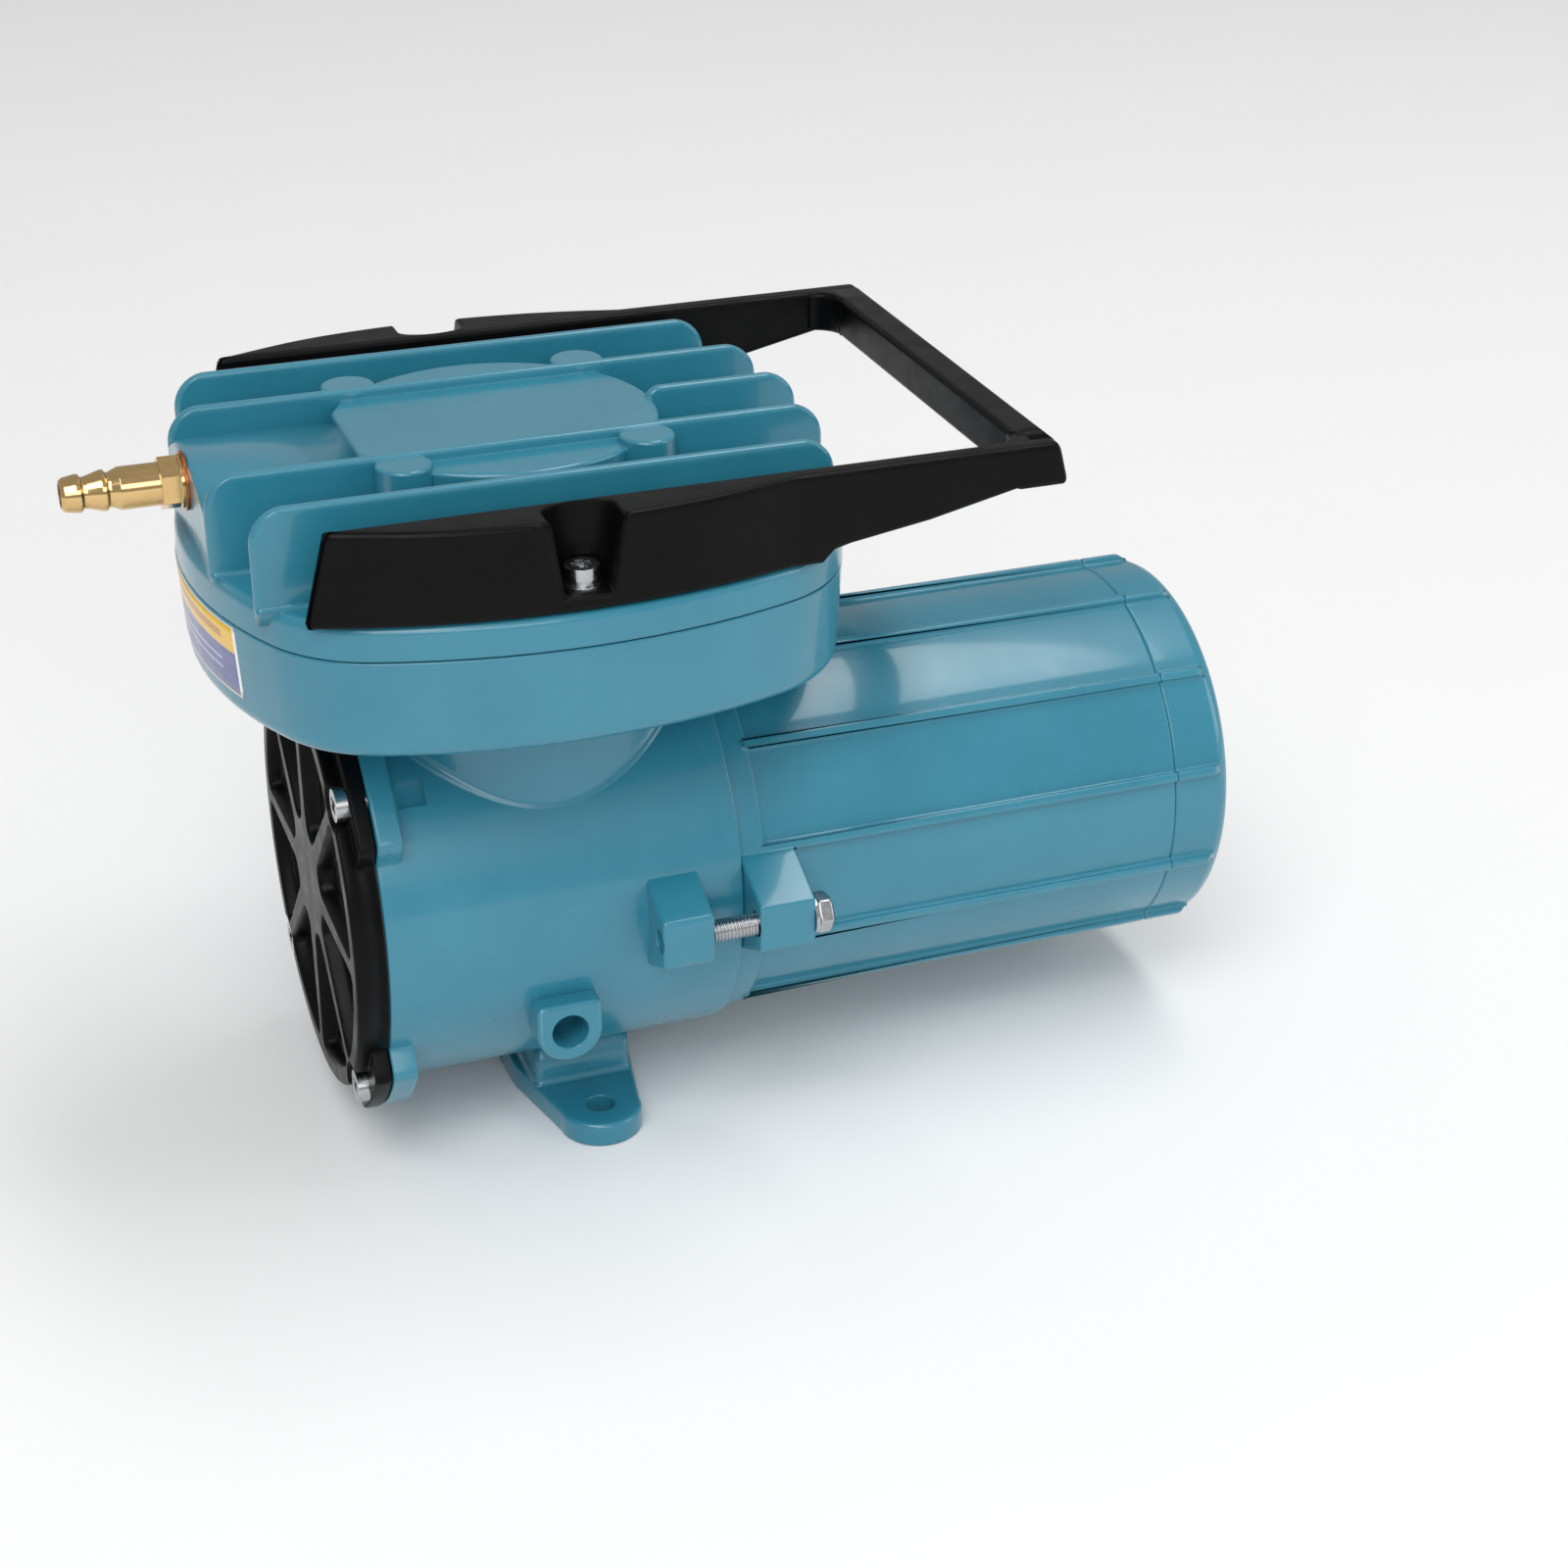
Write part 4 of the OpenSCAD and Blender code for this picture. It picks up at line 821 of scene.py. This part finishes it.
# The handle's underside along the arm: place along the shaft, and height
ARM_KINKS = [(58.8, 87.5), (76.3, 90.2), (95.6, 94.4), (96.6, BAR_Z0), (110, BAR_Z0)]


def handle_outer_y(x):
    """How far out the panel or the arm reaches."""
    bow = math.sqrt(BOW_RADIUS ** 2 - (x - HANDLE_SCREW_X) ** 2) - (BOW_RADIUS - BOW_Y)
    return max(ARM_Y, bow) if x > 40 else bow


def handle_section(y0, y1, z0, z1, tuck):
    """The cross-section of a side, drawn in by tuck, with round corners."""
    return round_corners([(y0 + tuck, z0 + tuck), (y1 - tuck, z0 + tuck), (y1 - tuck, z1 - tuck),
                          (y0 + tuck, z1 - tuck)], HANDLE_CORNER, 4)


def handle_side(side, bottom, top):
    """One bowed panel with its arm, its corners rounded and its left end leaning."""
    # The underside: level along the panel, then up to the arm
    lower = [(-60, bottom), (52.6, bottom), (54.2, bottom + 1.6), (55.2, bottom + 2.6)] + ARM_KINKS

    def lower_z(x):
        """Height of the underside at a place along the shaft."""
        for (xa, za), (xb, zb) in zip(lower, lower[1:]):
            if x <= xb:
                return za + (zb - za) * (x - xa) / (xb - xa)

    # Places of the sections, close together at the left end and where the underside bends
    stations = [HANDLE_X0 + HANDLE_CORNER * (1 - c) for c, _ in reversed(list(arc(5)))]
    stations = [round(x, 3) for x in stations] + [-50 + 4 * i for i in range(25)]
    stations += [48, 50, 52, 52.6, 53.2, 54.2, 55.2, 56.5, 58.8, 62, 68, 76.3, 84, 92, 95.6, 96.6, 100]
    rings = []
    for x in sorted(set(stations)):
        past = HANDLE_X0 + HANDLE_CORNER - x
        tuck = HANDLE_CORNER - math.sqrt(max(0, HANDLE_CORNER ** 2 - past ** 2)) if past > 0 else 0
        section = handle_section(HANDLE_INNER_Y, handle_outer_y(x), lower_z(x), top, tuck)
        lean = HANDLE_LEAN * smooth(-x, 20, 52) / (top - bottom)
        rings.append([(x + lean * (z - bottom), y * side, z) for y, z in section])
    for inward, down in rounded_edge(HANDLE_CORNER, 4):
        section = handle_section(HANDLE_INNER_Y, ARM_Y, BAR_Z0, top, inward)
        rings.append([(BAR_END_HIGH - down + (BAR_END_LOW - BAR_END_HIGH) * (top - z) / (top - BAR_Z0),
                       y * side, z) for y, z in section])
    shell = Shell()
    shell.loft(rings)
    return shell


def handle_well(side, ledge, top):
    """The volume above a handle screw, open towards the outside."""
    shell = Shell()
    rings = []
    half_low, widening, rim, middle_y, back_depth, outside_y = 5.0, 2.4, 0.5, 59.2, 4.0, 70
    for z in (ledge, ledge + 0.6, top - 0.6, top - 0.2, top + 1):
        half = half_low + widening * (z - ledge) / (top - ledge) - (rim if z == ledge else 0)
        half += rim if z > top - rim else 0
        back = [(HANDLE_SCREW_X + half * c, (middle_y - back_depth * s) * side) for c, s in arc(14, 0, 180)]
        plan = [(HANDLE_SCREW_X + half, outside_y * side)] + back
        plan.append((HANDLE_SCREW_X - half, outside_y * side))
        rings.append(at_z(plan, z))
    shell.loft(rings)
    return shell.piece("well", "black_plastic", "pump_body")


def corner_fillet(shell, side, top):
    """Fills the inner corner between an arm and the crossbar."""
    reach, sunk = 6.0, 0.02
    plan = [(BAR_X + 2.9, (HANDLE_INNER_Y - reach) * side)]
    plan += [(BAR_X - reach + reach * c, (HANDLE_INNER_Y - reach + reach * s) * side) for c, s in arc(10)]
    plan += [(BAR_X - reach, (HANDLE_INNER_Y + 2.8) * side), (BAR_X + 2.9, (HANDLE_INNER_Y + 2.8) * side)]
    if side > 0:
        plan = plan[::-1]
    edge = rounded_edge(HANDLE_CORNER, 4)
    rings = [at_z(shrink(plan, inward), BAR_Z0 + sunk + down) for inward, down in reversed(edge)]
    rings += [at_z(shrink(plan, inward), top - sunk - down) for inward, down in edge]
    shell.loft(rings)


def build_handle():
    """The carrying handle: two bowed panels with arms, joined by a crossbar, and a well above each screw."""
    lo, hi = span("handle")
    bottom, top = lo.z, hi.z
    ledge = span("handle_flat_washers")[0].z
    for side, name in ((-1, "handle_near"), (1, "handle_far")):
        made = handle_side(side, bottom, top).piece(name, "black_plastic", "pump_body")
        cut(made, handle_well(side, ledge, top))
        if side < 0:
            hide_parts("handle")
    shell = Shell()
    bar_y = HANDLE_INNER_Y + 0.8
    bar = round_corners([(BAR_X, BAR_Z0), (BAR_END_LOW, BAR_Z0), (BAR_END_HIGH, top), (BAR_X, top)],
                        HANDLE_CORNER, 5)
    shell.loft([at_y(bar, bar_y * k / 8) for k in range(-8, 9)])
    for side in (-1, 1):
        corner_fillet(shell, side, top)
    shell.piece("handle_crossbar", "black_plastic", "pump_body")


def build_tie_bolts():
    """The two long hex bolts, with a rolled thread between the ears."""
    shell = Shell()
    head_x0, flats, pitch, crest, root = 52.5, 4.0, 0.8, 2.5, 2.16
    tip, tip_radius, thread_end, count = 19.0, 1.4, 41.0, 32
    for side in (-1, 1):
        y = EAR_BOLT_Y * side
        rings = [at_x(circle(tip_radius, count, y), tip)]
        steps = int((thread_end - tip) / pitch * 8)
        for k in range(steps + 1):
            x = tip + 0.3 + (thread_end - tip) * k / steps
            ring = []
            for i in range(count):
                turn = x / pitch - i / count
                wave = abs((turn % 1) * 2 - 1)
                r = root + (crest - root) * smooth(wave, 0.1, 0.75)
                a = 2 * math.pi * i / count
                ring.append((x, y + r * math.cos(a), r * math.sin(a)))
            rings.append(ring)
        rings.append(at_x([(p[1], p[2]) for p in rings[-1]], head_x0 + 1))
        shell.loft(rings)
        hexagon = circle(flats / math.cos(math.radians(30)), 6)
        outline = star(round_corners(hexagon, 0.25, 2), (0, 0), 72)
        rings = []
        for x, limit in ((head_x0, 3.9), (head_x0 + 0.3, 4.3), (head_x0 + 0.6, 5), (head_x0 + 2.7, 5),
                         (head_x0 + 3.0, 4.4), (head_x0 + 3.5, 3.7)):
            ring = []
            for py, pz in outline:
                r = math.hypot(py, pz)
                keep = min(1, limit / r)
                ring.append((x, y + py * keep, pz * keep))
            rings.append(ring)
        shell.loft(rings)
    return shell.piece("hex_tie_bolts", "zinc_steel", "pump_body", "tie_bolts")


def join_into(name, slot, body, *shells):
    """Makes one piece of several shells."""
    whole = Shell()
    for shell in shells:
        mesh = bpy.data.meshes.new("part")
        bmesh.ops.recalc_face_normals(shell.bm, faces=shell.bm.faces)
        shell.bm.to_mesh(mesh)
        shell.bm.free()
        whole.bm.from_mesh(mesh)
        bpy.data.meshes.remove(mesh)
    return whole.piece(name, slot, body)


def pocket_cutter(floor_radius):
    """The shallow square pocket beside the upper near lug."""
    tilt, x0, x1, half = math.radians(44.5), -33.5, -27.5, 3
    out_y, out_z = -math.sin(tilt), math.cos(tilt)
    shell = Shell()
    rings = []
    for d in (floor_radius, floor_radius + 4):
        rings.append([(x, out_y * d + out_z * t, out_z * d - out_y * t)
                      for x, t in ((x0, -half), (x1, -half), (x1, half), (x0, half))])
    shell.loft(rings)
    return shell.piece("pocket", "teal_enamel", "pump_body")


def cylinder_cutter(radius, z0, z1, count=180):
    """An upright cylinder on the barrel's axis."""
    shell = Shell()
    shell.loft([at_z(circle(radius, count), z0), at_z(circle(radius, count), z1)])
    return shell.piece("cutter", "teal_enamel", "pump_body")


def build_spring(side):
    """A brush spring, copied from its CAD coil onto the pump body."""
    node = side + "_brush_spring"
    source = frame["nodes"][node]
    made = bpy.data.objects.new(side + "_spring_coil", source.data.copy())
    made.matrix_world = source.matrix_world
    bpy.context.scene.collection.objects.link(made)
    paint(made, SLOT_OF[node])
    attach(made, "pump_body")
    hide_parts(node)
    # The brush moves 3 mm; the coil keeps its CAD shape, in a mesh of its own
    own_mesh(made)


build_spring("upper")
build_spring("lower")
build_pan()
build_label()
build_head_cover()
build_crankcase()
build_end_cover()
build_handle()
build_tie_bolts()

# ---------------------------------------------------------------- stage, light, camera


def floor():
    mesh = bpy.data.meshes.new("floor")
    half = 3.0
    corners = [(-half, -half, 0), (half, -half, 0), (half, half, 0), (-half, half, 0)]
    mesh.from_pydata(corners, [], [(0, 1, 2, 3)])
    made = bpy.data.objects.new("floor", mesh)
    bpy.context.scene.collection.objects.link(made)
    f = Finish("pale_floor", Roughness=0.9)
    made.data.materials.append(f.done(f.mix(f.noise(12, 3), srgb(243, 243, 243), srgb(246, 246, 246))))


def softbox(name, place, aim, size, power):
    light = bpy.data.lights.new(name, "AREA")
    light.shape = "RECTANGLE"
    light.size, light.size_y = size
    light.energy = power
    made = bpy.data.objects.new(name, light)
    made.location = place
    made.rotation_euler = (Vector(aim) - Vector(place)).to_track_quat("-Z", "Y").to_euler()
    bpy.context.scene.collection.objects.link(made)


def camera():
    """The photograph's viewpoint: 20.4 degrees to the left of straight on, 27.2 degrees down."""
    azimuth, elevation, roll = math.radians(-20.437), math.radians(27.202), math.radians(0.127)
    aim = Vector((57.34 * MM, 0, ORIGIN.z + 3.05 * MM))
    distance = 672.65 * MM
    back = Vector((math.sin(azimuth) * math.cos(elevation), -math.cos(azimuth) * math.cos(elevation),
                   math.sin(elevation)))
    data = bpy.data.cameras.new("camera")
    data.lens, data.sensor_width = 65.607, 36
    data.clip_start, data.clip_end = 0.02, 20
    made = bpy.data.objects.new("camera", data)
    made.rotation_mode = "QUATERNION"
    made.location = aim + back * distance
    level = (-back).to_track_quat("-Z", "Y")
    made.rotation_quaternion = level @ Matrix.Rotation(roll, 3, "Z").to_quaternion()
    bpy.context.scene.collection.objects.link(made)
    bpy.context.scene.camera = made


def world():
    made = bpy.data.worlds.new("studio")
    bpy.context.scene.world = made
    made.use_nodes = True
    made.node_tree.nodes["Background"].inputs[0].default_value = srgb(250, 250, 250)
    made.node_tree.nodes["Background"].inputs[1].default_value = 0.44


floor()
world()
centre = (cad_lo + cad_hi) / 2
softbox("key", centre + Vector((-0.9, -1.3, 2.0)), centre, (1.4, 1.4), 28)
softbox("top", centre + Vector((0.8, 0.1, 2.3)), centre, (1.6, 0.6), 16)
softbox("front", centre + Vector((-0.4, -2.3, 1.2)), centre, (1.6, 1.0), 14)
softbox("side", centre + Vector((2.2, -1.1, 0.9)), centre, (1.0, 1.4), 10)
camera()
bpy.context.scene.view_settings.view_transform = "Standard"
